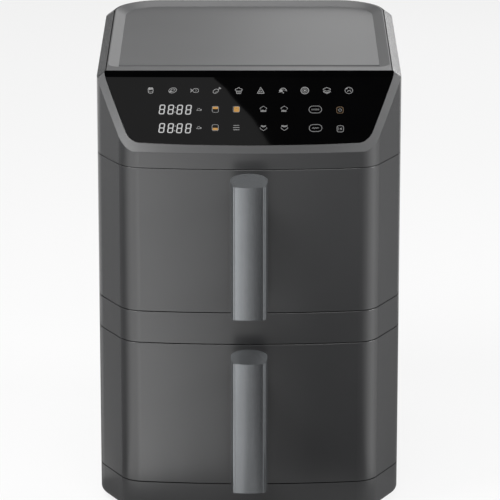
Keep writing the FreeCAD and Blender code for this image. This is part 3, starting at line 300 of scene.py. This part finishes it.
def black_glass(name):
    """Glass of roughness 0.02 + 0.015 * haze, and matt black that mirrors nothing above the height
    GLASS_MARGIN.
    """
    material, root, place = start_finish(name)
    haze = grain(place, HAZE_SIZE, FINE_DETAIL)
    base = blend(haze, (0.0006, 0.0006, 0.0007, 1.0), (0.0012, 0.0012, 0.0013, 1.0))
    height = place.node("ShaderNodeSeparateXYZ", {}, {"Vector": place}, "Z")
    margin = step_up(height, GLASS_MARGIN, GLASS_MARGIN + MARGIN_BLUR * MM)
    sockets = {"Base Color": base, "Roughness": 0.02 + 0.015 * haze}
    glass = root.node("ShaderNodeBsdfPrincipled", {}, sockets, "BSDF")
    matt_black = root.node("ShaderNodeBsdfDiffuse", {}, {"Color": base})
    mixed = root.node("ShaderNodeMixShader", {}, {0: margin, 1: glass, 2: matt_black})
    root.node("ShaderNodeOutputMaterial", {}, {"Surface": mixed})
    return material


finishes["heater_steel"] = heat_tinted("heater_tube")
finishes["basket_coating"] = speckled_coating("non_stick_coating")
finishes["circuit_board"] = laminate("green_laminate")
finishes["panel_glass"] = black_glass("panel_glass")
print("finishes:", len(finishes))

# %% [markdown]
# ## Dress the parts
#
# Each part's record names the material slot that it belongs to, so one loop gives every part its
# finish. Only the object's material slots change; the meshes stay as they came.

# %% Give every part its finish
for part in frame["record"]["subparts"]:
    piece = frame["nodes"][part["node"]]
    for slot in piece.material_slots:
        slot.material = finishes[part["material_slot"]]
print("dressed parts:", sum(bool(piece.material_slots) for piece in frame["nodes"].values()))

# %% [markdown]
# ## The touch panel's surface
#
# The slanted panel runs from the bowed front edge of the fascia up to the straight front edge of the
# top. It is a ruled surface: straight lines join the two edges. A symbol is drawn flat, in millimetres
# across and up the slope, and this function carries its points onto the glass, a hair above it. The
# values are the panel's own sizes in millimetres, counted back from the front of the body.

# %% Points on the slanted panel
FRONT_Y = -157.25
BOW_RADIUS = 779.4
BOW_CENTRE = 780.0
PANEL_FOOT = 353.2
PANEL_TOP = 415.6
PANEL_BACK = 62.0
RULED_HALF = 141.0
SLOPE = 88.0
LIFT = 0.07


def on_panel(flat):
    """(across, up) in millimetres to metres: low edge + (up / SLOPE) * (high edge - low edge) + lift.

    The low edge is the arc (R sin a, C - R cos a), the high edge is straight, and both are shared out
    evenly, so a = across * asin(half / R) / half.
    """
    across, up = flat[:, 0], flat[:, 1] / SLOPE
    turn = across * math.asin(RULED_HALF / BOW_RADIUS) / RULED_HALF
    level = np.zeros_like(turn)
    bow = BOW_CENTRE - BOW_RADIUS * np.cos(turn)
    low = np.stack([BOW_RADIUS * np.sin(turn), bow, level + PANEL_FOOT], 1)
    high = np.stack([across, level + PANEL_BACK, level + PANEL_TOP], 1)
    ruling = high - low
    outward = np.stack([level, -ruling[:, 2], ruling[:, 1]], 1)
    outward /= np.linalg.norm(outward, axis=1, keepdims=True)
    return (low + up[:, None] * ruling + LIFT * outward + (0, FRONT_Y, 0)) * MM


print("panel corner:", on_panel(np.array([[120.0, 80.0]])).round(4).tolist())

# %% [markdown]
# ## Strokes and fills
#
# Printed symbols are lines of an even width and a few filled shapes. A line is a path with an edge on
# each side. At a corner the edges move out along the bisector, a little further than half the width,
# so that the line stays as wide round the bend as along the straights.

# %% Lines, fills, arcs and rounded frames
PEN = 0.68
SIGN_SIZE = 0.87


def line(path, width=1.0, closed=False):
    """Edges at path +- half a width * bisector normal / cos(half the turn), joined by quads.

    The width is in pens, each PEN millimetres wide.
    """
    path = np.asarray(path, float)
    ahead = np.roll(path, -1, 0) - path
    if not closed:
        ahead[-1] = ahead[-2]
    ahead /= np.linalg.norm(ahead, axis=1, keepdims=True)
    behind = np.roll(ahead, 1, 0)
    if not closed:
        behind[0] = ahead[0]
    bisector = ahead + behind
    bisector /= np.linalg.norm(bisector, axis=1, keepdims=True)
    reach = width * PEN / 2 / np.maximum((bisector * ahead).sum(1, keepdims=True), 0.5)
    side = np.stack([-bisector[:, 1], bisector[:, 0]], 1) * reach
    count = len(path)
    first = np.arange(count if closed else count - 1)
    second = (first + 1) % count
    return np.vstack([path + side, path - side]), np.stack([first, first + count, second + count, second], 1)


def fill(outline):
    """One flat face; the outline runs anticlockwise."""
    outline = np.asarray(outline, float)
    return outline, np.arange(len(outline))[None]


def arc(centre, radii, start, end, steps):
    """Points centre + (rx cos a, ry sin a) for angles from start to end, in degrees."""
    angle = np.radians(np.linspace(start, end, steps))
    return np.stack([centre[0] + radii[0] * np.cos(angle), centre[1] + radii[1] * np.sin(angle)], 1)


def ring(centre, radii, steps=24):
    """A closed ellipse, without repeating its first point."""
    return arc(centre, radii, 0, 360, steps + 1)[:-1]


def frame_loop(width, height, corner, steps=5):
    """A rectangle with round corners, anticlockwise from the right: four quarter arcs."""
    angle = np.radians(90 * np.arange(4)[:, None] + np.linspace(0, 90, steps))
    x = (width / 2 - corner) * np.array([[1], [-1], [-1], [1]]) + corner * np.cos(angle)
    y = (height / 2 - corner) * np.array([[1], [1], [-1], [-1]]) + corner * np.sin(angle)
    return np.stack([x, y], -1).reshape(-1, 2)


def turned(path, degrees):
    """A path turned about its origin: (x cos a - y sin a, x sin a + y cos a)."""
    c, s = math.cos(math.radians(degrees)), math.sin(math.radians(degrees))
    return np.asarray(path, float) @ np.array([[c, s], [-s, c]])


def placed(marks, across, up, size=SIGN_SIZE, lean=0.0):
    """Marks at their place on the panel: size * (points, leaning right by lean * height) + place."""
    moved = []
    for points, faces in marks:
        leaning = points + np.outer(points[:, 1], (lean, 0))
        moved.append((size * leaning + (across, up), faces))
    return moved


print("one ring has", len(ring((0, 0), (1, 1))), "points")

# %% [markdown]
# ## The two clocks
#
# Each drawer has a clock of four digits, all segments lit. A digit is two stacked loops that share
# the bar in the middle, and it leans to the right. A dimmer pair of dots stands between hours and
# minutes.

# %% Clock digits
ROWS = (45.8, 26.0)
DIGIT_ACROSS = (-79.3, -71.3, -63.2, -55.2)
DIGIT_WIDTH = 4.3
DIGIT_LOOP = 4.7
DIGIT_CORNER = 1.2
DIGIT_PEN = 1.45
DIGIT_LEAN = 0.11
loop = frame_loop(DIGIT_WIDTH, DIGIT_LOOP, DIGIT_CORNER)
digit = [line(loop + (0, side * DIGIT_LOOP / 2), DIGIT_PEN, True) for side in (1, -1)]
colon = [fill(ring((0, up), (0.55, 0.6), 12)) for up in (2.2, -2.6)]
bright, soft, dim, amber, brown = [], [], [], [], []
for up in ROWS:
    for across in DIGIT_ACROSS:
        bright += placed(digit, across, up, 1.0, DIGIT_LEAN)
    soft += placed(colon, (DIGIT_ACROSS[1] + DIGIT_ACROSS[2]) / 2, up, 1.0, DIGIT_LEAN)
print("digit loops:", len(bright))

# %% [markdown]
# ## The row of dishes
#
# Ten small pictures across the top choose a programme: chips, meat, fish, drumstick, cake, pizza
# slice, shrimp, flat bread, layers and a plate. Each is a few strokes about eight millimetres across,
# given by points in millimetres round its middle.

# %% Dish pictures
DISH_UP = 66.3
DISH_PITCH = 20.13
DISH_START = -90.0


def chips():
    """A cup with a filled heap of chips above it."""
    cup = [(-2.7, 0.9), (-2.5, -1.6), (-1.9, -3.2), (0, -3.9), (1.9, -3.2), (2.5, -1.6), (2.7, 0.9)]
    tops = [(-2.7, 0.9), (-1.0, 0.2), (0.8, 0.9), (2.6, 0.5), (2.7, 2.6), (1.6, 3.6), (-0.2, 3.3),
            (-1.7, 3.6), (-2.8, 2.6)]
    band = [(-2.3, -1.4), (0, -2.0), (2.3, -1.4)]
    return [line(cup), fill(tops), line(band, 0.5)]


def meat():
    """Two slanting ovals, one in the other, and a filled spot."""
    slant = 24
    edge = turned(ring((0, 0), (4.3, 3.0)), slant)
    inner = turned(ring((0.3, 0.2), (2.3, 1.3)), slant)
    spot = turned(ring((-2.4, -0.3), (1.3, 1.1), 14), slant)
    return [line(edge, 0.9, True), line(inner, 0.8, True), fill(spot)]


def fish():
    """Two arcs for the body, three strokes for the tail and one for the gill."""
    body = np.vstack([arc((1.2, -1.5), (4.0, 4.0), 45, 140, 9), arc((1.2, 1.5), (4.0, 4.0), 220, 315, 9)])
    tail = [(-1.6, 0.9), (-4.4, -2.2)], [(-1.6, -0.9), (-4.4, 2.2)], [(-4.2, 2.0), (-3.6, 0.0), (-4.2, -2.0)]
    gill = [(1.0, -1.4), (1.7, 0.0), (1.0, 1.4)]
    return [line(body, 0.85, True)] + [line(stroke, 0.8) for stroke in tail] + [line(gill, 0.6)]


def drumstick():
    """A slanting oval, a thick stroke for the bone, two knobs on its end and a crease."""
    slant = 38
    leg = turned(ring((-1.2, 0), (3.1, 2.2)), slant)
    crease = turned([(-3.0, -0.8), (0.0, -1.0)], slant)
    knobs = [fill(ring(centre, (0.8, 0.7), 10)) for centre in ((3.9, 2.6), (3.0, 3.4))]
    return [line(leg, 0.95, True), line([(1.2, 1.0), (3.2, 2.6)], 1.3)] + knobs + [line(crease, 0.6)]


def cake():
    """A domed top on a tapered case with two folds."""
    top = [(-2.3, -0.6), (-3.8, 0.8), (-3.1, 2.2), (-1.5, 2.4), (0, 4.0), (1.5, 2.4), (3.1, 2.2), (3.8, 0.8),
           (2.3, -0.6)]
    case = [(-2.5, -0.7), (-2.0, -3.6), (2.0, -3.6), (2.5, -0.7)]
    folds = [line([(side * 0.7, -0.8), (side * 0.6, -3.4)], 0.6) for side in (-1, 1)]
    return [line(top, 0.95, True), line(case, 1.0, True)] + folds


def slice_of_pizza():
    """A triangle with a crust and three filled spots."""
    edge = [(0, 4.0), (-3.5, -3.0), (3.5, -3.0)]
    crust = [(-3.3, -3.3), (3.3, -3.3)]
    spots = ((-0.9, -1.2, 0.7), (1.0, -1.0, 0.6), (0.0, 1.0, 0.6))
    toppings = [fill(ring((x, y), (radius, radius), 10)) for x, y, radius in spots]
    return [line(edge, 1.0, True), line(crust, 1.1)] + toppings


def shrimp():
    """A thick arc for the back, a filled head, a feeler, legs, a tail and an inner arc."""
    back = arc((0.4, -0.4), (3.4, 3.4), 20, 200, 13)
    inner = arc((0.4, -0.4), (1.5, 1.5), 20, 150, 9)
    feeler = [(-2.6, -1.6), (-4.2, -2.2)]
    legs = [(-0.6, -1.2), (0.6, -3.2), (1.0, -2.0)]
    tail = [(3.5, 1.2), (4.1, -0.4), (2.6, 0.2)]
    head = fill(ring((-2.0, -0.2), (1.9, 1.7), 14))
    return [line(back, 1.2), head, line(feeler, 0.8), line(legs), line(tail, 0.9), line(inner, 0.7)]


def flat_bread():
    """A thick ring, a thin one in it and a filled middle."""
    edge, inner = ring((0, 0), (4.0, 4.0)), ring((0, 0), (2.3, 2.3))
    return [line(edge, 1.3, True), line(inner, 0.8, True), fill(ring((0, 0), (1.1, 1.1), 12))]


def layers():
    """A flat block seen from its corner, with two chevrons under it."""
    top = [(0, 3.6), (3.8, 1.7), (3.8, 0.9), (0, -1.0), (-3.8, 0.9), (-3.8, 1.7)]
    middle = [(-4.0, -0.9), (0, -3.0), (4.0, -0.9)]
    bottom = [(-3.6, -2.2), (0, -4.0), (3.6, -2.2)]
    return [line(top, 0.9, True), line(middle, 1.3), line(bottom, 0.6)]


def plate():
    """A ring with a filled spot, a mound and a short stroke in it."""
    edge = ring((0, -0.2), (4.0, 3.9))
    spot = ring((-2.2, 2.2), (0.95, 0.95), 12)
    heap = arc((0.3, -2.3), (1.9, 2.0), 10, 170, 9)
    return [line(edge, 0.85, True), fill(spot), line(heap, 0.9), line([(0.8, 2.6), (2.2, 1.2)], 0.6)]


DISHES = (chips, meat, fish, drumstick, cake, slice_of_pizza, shrimp, flat_bread, layers, plate)
for number, dish in enumerate(DISHES):
    soft += placed(dish(), DISH_START + DISH_PITCH * number, DISH_UP)
print("dishes:", len(DISHES), "soft white marks so far:", len(soft))

# %% [markdown]
# ## Keys and lamps
#
# Beside the clocks there are small signs: a mound for each clock, two drawer lamps with an amber half,
# a full amber square and three bars, two house-shaped keys to go up with two arrowheads to go down,
# two long keys with plain strokes, and two square ones on the right.

# %% Keys and lamps
MOUND_ACROSS = -45.4
DRAWER_LAMP_ACROSS = -30.7
MODE_ACROSS = -11.6
MODE_LAMP_ACROSS = -11.4
MODE_LAMP_UP = 46.5
MODE_BARS_UP = 27.3
LONG_KEY_ACROSS = 60.3
SQUARE_KEY_ACROSS = 82.8
SQUARE_KEY_UPS = (45.1, 25.0)


def mound():
    """A heap on a line, with a filled dot beside it."""
    heap = [(-2.6, -1.3), (-1.4, 0.5), (0.1, 1.2), (1.0, -0.2)]
    ground = [(-2.7, -1.5), (2.2, -1.5)]
    return [line(heap, 0.7), line(ground, 0.8), fill(ring((1.9, -0.5), (0.8, 0.7), 10))]


def drawer_half(sign):
    """The upper half of a drawer lamp for 1, or its mirror image, the lower half, for -1."""
    return fill(np.asarray([(-2.7, 0.4), (2.7, 0.4), (2.7, 3.0), (-2.7, 3.0)][::sign]) * (1, sign))


def house(base):
    """A roof over a filled block whose right side is at `base`."""
    roof = [(-2.4, -0.4), (-3.4, 0.2), (-3.3, 1.2), (0, 3.5), (3.3, 1.2), (3.4, 0.2), (2.4, -0.4)]
    block = [(-3.0, -3.4), (base, -3.4), (base, -1.2), (0.6, -1.7), (-0.6, -1.0), (-3.0, -1.5)]
    return [line(roof, 0.9), fill(block)]


def arrowhead(wide):
    """A tip that points down, under a filled block that reaches `wide` to each side."""
    tip = [(-3.4, 0.6), (-3.3, -0.8), (0, -3.3), (3.3, -0.8), (3.4, 0.6)]
    block = [(-wide, 1.6), (0, 0.6), (wide, 1.6), (wide, 3.2), (0.5, 2.6), (-wide, 3.2)]
    return [line(tip, 0.9), fill(block)]


for up, sign in ((46.4, 1), (27.1, -1)):
    soft += placed(mound(), MOUND_ACROSS, up)
    soft += placed([line(frame_loop(6.5, 7.2, 1.6), 0.75, True)], DRAWER_LAMP_ACROSS, up)
    amber += placed([drawer_half(sign)], DRAWER_LAMP_ACROSS, up)
soft += placed([line(frame_loop(6.6, 7.0, 1.6), 0.6, True)], MODE_ACROSS, MODE_LAMP_UP)
amber += placed([fill(frame_loop(5.7, 6.2, 1.2))], MODE_LAMP_ACROSS, MODE_LAMP_UP)
brown += placed([line([(-1.6, y), (2.0, y)], 0.5) for y in (0.8, -1.0)], MODE_LAMP_ACROSS, MODE_LAMP_UP)
soft += placed([line([(-3.2, 2.6), (3.2, 2.6)], 0.9)], MODE_ACROSS, MODE_BARS_UP)
dim += placed([line([(-3.2, y), (3.2, y)], 1.4) for y in (0.0, -2.7)], MODE_ACROSS, MODE_BARS_UP)
for marks, across, up in ((house(3.0), 13.0, 46.8), (house(2.2), 32.0, 46.8),
                          (arrowhead(2.6), 13.0, 26.9), (arrowhead(3.2), 32.0, 26.9)):
    dim += placed(marks, across, up)
long_key = line(frame_loop(13.2, 8.5, 4.1, 7), 0.95, True)
bars = [line([(x, -1.0), (x, 1.0)], 0.75) for x in np.linspace(-3.6, 3.6, 7)]
wave = [(-3.6, -0.6), (-2.4, 0.8), (-1.2, -0.8), (0.0, 0.8), (1.2, -0.6), (2.4, 0.6), (3.4, -0.2)]
for up, marks in ((46.0, bars), (26.3, [line(wave, 0.8)])):
    dim += placed([long_key] + marks, LONG_KEY_ACROSS, up)
square_key = line(frame_loop(6.7, 7.6, 1.8), 1.0, True)
dial = line(ring((0, 0), (1.5, 1.6), 16), 0.8, True)
start_sign = [line([(-1.7, -1.8), (-1.7, 1.8)], 0.7), fill([(-0.6, 0), (1.4, -1.7), (1.4, 1.7)])]
brown += placed([square_key], SQUARE_KEY_ACROSS, SQUARE_KEY_UPS[0])
dim += placed([dial], SQUARE_KEY_ACROSS, SQUARE_KEY_UPS[0])
dim += placed([square_key] + start_sign, SQUARE_KEY_ACROSS, SQUARE_KEY_UPS[1])
print("marks: soft", len(soft), "dim", len(dim), "amber", len(amber), "dark amber", len(brown))

# %% [markdown]
# ## Lit print
#
# The symbols are lit from behind through thin print in the glass, so they glow evenly and hardly
# reflect. Their finish is an emission colour with a slight cloud in it. Each brightness becomes one
# mesh that rides on the housing.

# %% Put the symbols on the glass
WHITE_PRINT = (1.0, 1.0, 1.0)
AMBER_PRINT = (1.0, 0.49, 0.065)
CLOUD_IN_PRINT = 3.0
WEAKEST_GLOW = 0.88
UNLIT_PRINT = 0.02


def lit_print(name, colour, strength):
    """Emission = strength * colour * (WEAKEST_GLOW to 1, by a fine noise), over nearly black print."""
    material, root, place = start_finish(name)
    glow = blend(grain(place, CLOUD_IN_PRINT), grey_scaled(colour, WEAKEST_GLOW), grey_scaled(colour, 1.0))
    unlit = grey_scaled(colour, UNLIT_PRINT)
    close_finish(root, unlit, 0.5, Emission_Color=glow, Emission_Strength=strength)
    return material


def print_on_panel(name, marks, finish):
    """Joins the marks into one mesh: each mark's faces are counted on from the points before it."""
    starts = np.cumsum([0] + [len(points) for points, _ in marks])
    corners = [(faces + start).tolist() for (_, faces), start in zip(marks, starts)]
    mesh = bpy.data.meshes.new(name)
    mesh.from_pydata(on_panel(np.vstack([points for points, _ in marks])), [], sum(corners, []))
    mesh.materials.append(finish)
    piece = bpy.data.objects.new(name, mesh)
    bpy.context.scene.collection.objects.link(piece)
    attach(piece, "housing")
    return piece


symbols = [
    print_on_panel("clock_digits", bright, lit_print("bright_white_print", WHITE_PRINT, 0.49)),
    print_on_panel("panel_symbols", soft, lit_print("soft_white_print", WHITE_PRINT, 0.235)),
    print_on_panel("dim_symbols", dim, lit_print("dim_white_print", WHITE_PRINT, 0.165)),
    print_on_panel("amber_lamps", amber, lit_print("amber_print", AMBER_PRINT, 0.47)),
    print_on_panel("brown_lines", brown, lit_print("dark_amber_print", AMBER_PRINT, 0.07)),
]
print("symbol faces:", sum(len(piece.data.polygons) for piece in symbols))

# %% [markdown]
# ## The studio floor
#
# The appliance stands on a white sweep. A large plane does for it. Its own shading keeps the soft
# shadow under the feet, and a share of plain white is mixed in for what the camera, reflections and
# clear materials see, so that the ground reads as white without more light on the appliance.

# %% Floor and surroundings
FLOOR_HALF = 12.0
FLOOR_GLOW = 0.85
PAPER_CLOUD = 400.0
WORLD_GREY = (0.012, 0.012, 0.012, 1.0)
WHITE = (1.0, 1.0, 1.0, 1.0)


def sheet(name, corners, finish):
    """A flat stage piece through those corners, in metres."""
    mesh = bpy.data.meshes.new(name)
    mesh.from_pydata(corners, [], [tuple(range(len(corners)))])
    mesh.materials.append(finish)
    piece = bpy.data.objects.new(name, mesh)
    bpy.context.scene.collection.objects.link(piece)
    return piece


def studio_white(name):
    """Shaded paper, mixed with FLOOR_GLOW of plain white for camera, glossy and transmission rays."""
    material, root, place = start_finish(name)
    ray = root.node("ShaderNodeLightPath", output="Is Camera Ray")
    ray += root.node("ShaderNodeLightPath", output="Is Glossy Ray")
    ray += root.node("ShaderNodeLightPath", output="Is Transmission Ray")
    paper = blend(grain(place, PAPER_CLOUD), (0.8, 0.8, 0.8, 1.0), (0.84, 0.84, 0.84, 1.0))
    shaded = root.node("ShaderNodeBsdfDiffuse", {}, {"Color": paper})
    white = root.node("ShaderNodeEmission", {}, {"Color": WHITE, "Strength": 1.0})
    mixed = root.node("ShaderNodeMixShader", {}, {0: FLOOR_GLOW * ray, 1: shaded, 2: white})
    root.node("ShaderNodeOutputMaterial", {}, {"Surface": mixed})
    return material


floor_corners = [(x * FLOOR_HALF, y * FLOOR_HALF, 0) for x, y in ((-1, -1), (1, -1), (1, 1), (-1, 1))]
sheet("studio_floor", floor_corners, studio_white("studio_white"))
world = bpy.data.worlds.new("dim_studio")
world.use_nodes = True
world.node_tree.nodes["Background"].inputs["Color"].default_value = WORLD_GREY
bpy.context.scene.world = world
bpy.context.scene.view_settings.view_transform = "Standard"
print("floor:", 2 * FLOOR_HALF, "m wide")

# %% [markdown]
# ## Soft light
#
# Softboxes are area lamps above and beside the appliance. Each row gives a lamp's name, where it
# stands, where it points, its width and height, and how bright its face is. A lamp's power follows
# from that brightness: power = pi * area * brightness.

# %% Softboxes
def softbox(name, place, aim, width, height, brightness):
    """An area lamp at `place` that faces `aim`, with power = pi * width * height * brightness."""
    lamp = bpy.data.lights.new(name, "AREA")
    lamp.shape = "RECTANGLE"
    lamp.size = width
    lamp.size_y = height
    lamp.energy = math.pi * width * height * brightness
    made = bpy.data.objects.new(name, lamp)
    made.visible_camera = False
    made.location = place
    made.rotation_euler = (made.location - Vector(aim)).to_track_quat("Z", "Y").to_euler()
    bpy.context.scene.collection.objects.link(made)


SOFTBOXES = [
    ("top_box", (0.0, 0.2, 1.55), (0.0, 0.0, 0.4), 1.2, 0.8, 0.2),
    ("front_box", (0.0, -1.1, 1.55), (0.0, -0.1, 0.4), 1.4, 0.6, 5.2),
    ("left_box", (-0.85, -0.5, 1.55), (0.0, -0.1, 0.4), 0.8, 0.6, 14.5),
    ("right_box", (2.2, -0.4, 0.9), (0.0, 0.0, 0.2), 1.0, 1.0, 14.0),
]
for setting in SOFTBOXES:
    softbox(*setting)
print("softboxes:", len(SOFTBOXES))

# %% [markdown]
# ## Cards that the surfaces mirror
#
# A satin surface mirrors its surroundings, only blurred, so its light and dark bands are shaped with
# cards. The front looks down at the floor before it, so cards lie there in fans. The bowed front
# spreads its view as if from one point inside the appliance: the first fan is centred there, and each
# of its cards shows up as an upright band. Each rounded front corner spreads its view from its own
# centre and has a fan round that. A dim card round the foot is painted shade: it stands in for the
# floor in the appliance's own shadow, as the front mirrors it.
#
# The top mirrors the cards that stand behind the appliance. Its rear slope mirrors one that hangs
# above them, and the glass mirrors another overhead, which fills the left half and ends in a slanted
# edge. The camera sees none of the cards, and they cast no shadow.

# %% Make a card
FAN_FAR = 2.6
FAN_POINTS = 7


def glow_card(name, brightness):
    """Light of that brightness from the card's front, while its back is clear."""
    material, root, _ = start_finish(name)
    back = root.node("ShaderNodeNewGeometry", output="Backfacing")
    light = root.node("ShaderNodeEmission", {}, {"Strength": brightness})
    clear = root.node("ShaderNodeBsdfTransparent")
    mixed = root.node("ShaderNodeMixShader", {}, {0: back, 1: light, 2: clear})
    root.node("ShaderNodeOutputMaterial", {}, {"Surface": mixed})
    return material


def hang(name, corners, brightness):
    """A card through those corners that glows on its front and that only reflections and shading see."""
    card = sheet(name, corners, glow_card(name, brightness))
    card.visible_camera = False
    card.visible_shadow = False


def fan(centre, near, start, end):
    """Corners of a sector on the floor between two bearings, in degrees from straight in front.

    Its inner rim is an ellipse with the half widths `near` round the centre, and its outer rim a circle.
    """
    angle = np.radians(np.linspace(start, end, FAN_POINTS))
    rim = np.stack([np.sin(angle), -np.cos(angle), 0 * angle], 1)
    return np.vstack([centre + (*near, 0) * rim, (centre + FAN_FAR * rim)[::-1]])[::-1].tolist()


print("one fan card has", len(fan(np.zeros(3), (1, 1), 0, 10)), "corners")

# %% [markdown]
# ## Where the cards are
#
# Each fan has its centre, the half widths of its inner rim, and its cards from left to right: two
# bearings and a brightness. The cards behind have their left, right, lower and upper edges and a
# brightness. The last three are given by their corners.

# %% Cards
FLOOR_FANS = {
    "front": ((0.0, 0.23, 0.003), (0.34, 0.5), [
        (-40, -25, 1.3),
        (-25, -18, 2.0),
        (-18, -12, 1.4),
        (-12, -3, 0.95),
        (-3, 5, 0.4),
        (5, 10, 0.15),
        (10, 33, 0.0),
    ]),
    "left": ((-0.125, -0.135, 0.0025), (0.08, 0.08), [
        (-150, -130, 0.65),
        (-130, -122, 0.25),
        (-122, -112, 0.15),
        (-112, -84, 0.02),
        (-84, -74, 0.3),
        (-74, -66, 0.7),
        (-66, -55, 1.05),
        (-55, -30, 1.3),
    ]),
    "right": ((0.125, -0.135, 0.0025), (0.08, 0.08), [
        (20, 55, 0.3),
        (55, 72, 0.85),
        (72, 98, 1.1),
        (98, 114, 0.7),
        (114, 124, 0.4),
        (124, 150, 0.2),
    ]),
}
BACK_Y = 2.0
BACK_CARDS = [
    (-1.9, -0.6, 0.5, 0.86, 0.3),
    (-0.6, 0.0, 0.5, 1.36, 0.4),
    (0.0, 0.5, 0.5, 0.86, 1.7),
    (0.0, 0.5, 0.86, 1.36, 0.95),
    (0.5, 1.0, 0.5, 0.86, 2.5),
]
OVERHEAD_Z = 1.52
OVERHEAD_EDGE = (-0.048, -0.415)
ALONG_EDGE = np.array((0.803, -0.598))
FROM_EDGE = np.array((-0.598, -0.803))
OVERHEAD_REACH = ((-0.25, 0.0), (0.16, 0.0), (0.16, 0.5), (-0.25, 0.5))
overhead = [OVERHEAD_EDGE + along * ALONG_EDGE + away * FROM_EDGE for along, away in OVERHEAD_REACH]
SINGLE_CARDS = {
    "overhead_card": ([(x, y, OVERHEAD_Z) for x, y in overhead], 0.36),
    # painted shade: this dim card stands in for the floor that the appliance shadows, as the front mirrors it
    "painted_floor_shade": ([(-0.4, -0.3, 0.002), (0.4, -0.3, 0.002), (0.4, 0.5, 0.002), (-0.4, 0.5, 0.002)], 0.25),
    "rim_card": ([(-0.4, 0.36, 0.9), (-0.4, 0.6, 0.9), (0.4, 0.6, 0.9), (0.4, 0.36, 0.9)], 2.4),
}
for side, (centre, near, sectors) in FLOOR_FANS.items():
    for start, end, brightness in sectors:
        hang(f"{side}_floor_card_{start}", fan(np.array(centre), near, start, end), brightness)
for left, right, low, high, brightness in BACK_CARDS:
    corners = [(x, BACK_Y, z) for x, z in ((left, low), (right, low), (right, high), (left, high))]
    hang(f"back_card_{left}_{low}", corners, brightness)
for name, (corners, brightness) in SINGLE_CARDS.items():
    hang(name, corners, brightness)
fan_cards = sum(len(sectors) for _, _, sectors in FLOOR_FANS.values())
print("cards in fans:", fan_cards, "behind:", len(BACK_CARDS), "single:", len(SINGLE_CARDS))

# %% [markdown]
# ## Camera
#
# The picture is taken from far away with a long lens, a little above the appliance, so upright edges
# stay nearly parallel. A tilt of 90 degrees would look level.

# %% Camera
CAMERA_PLACE = (0.0, -3.38595, 1.24375)
CAMERA_TILT = 73.089
lens = bpy.data.cameras.new("long_lens")
lens.lens = 266.0
lens.sensor_width = 36.0
lens.shift_x = 0.0018
camera = bpy.data.objects.new("camera", lens)
camera.location = CAMERA_PLACE
camera.rotation_euler = (math.radians(CAMERA_TILT), 0.0, 0.0)
bpy.context.scene.collection.objects.link(camera)
bpy.context.scene.camera = camera
print("camera at", [round(c, 3) for c in camera.location])

# %% [markdown]
# ## The end

# %% Finish
print("done")
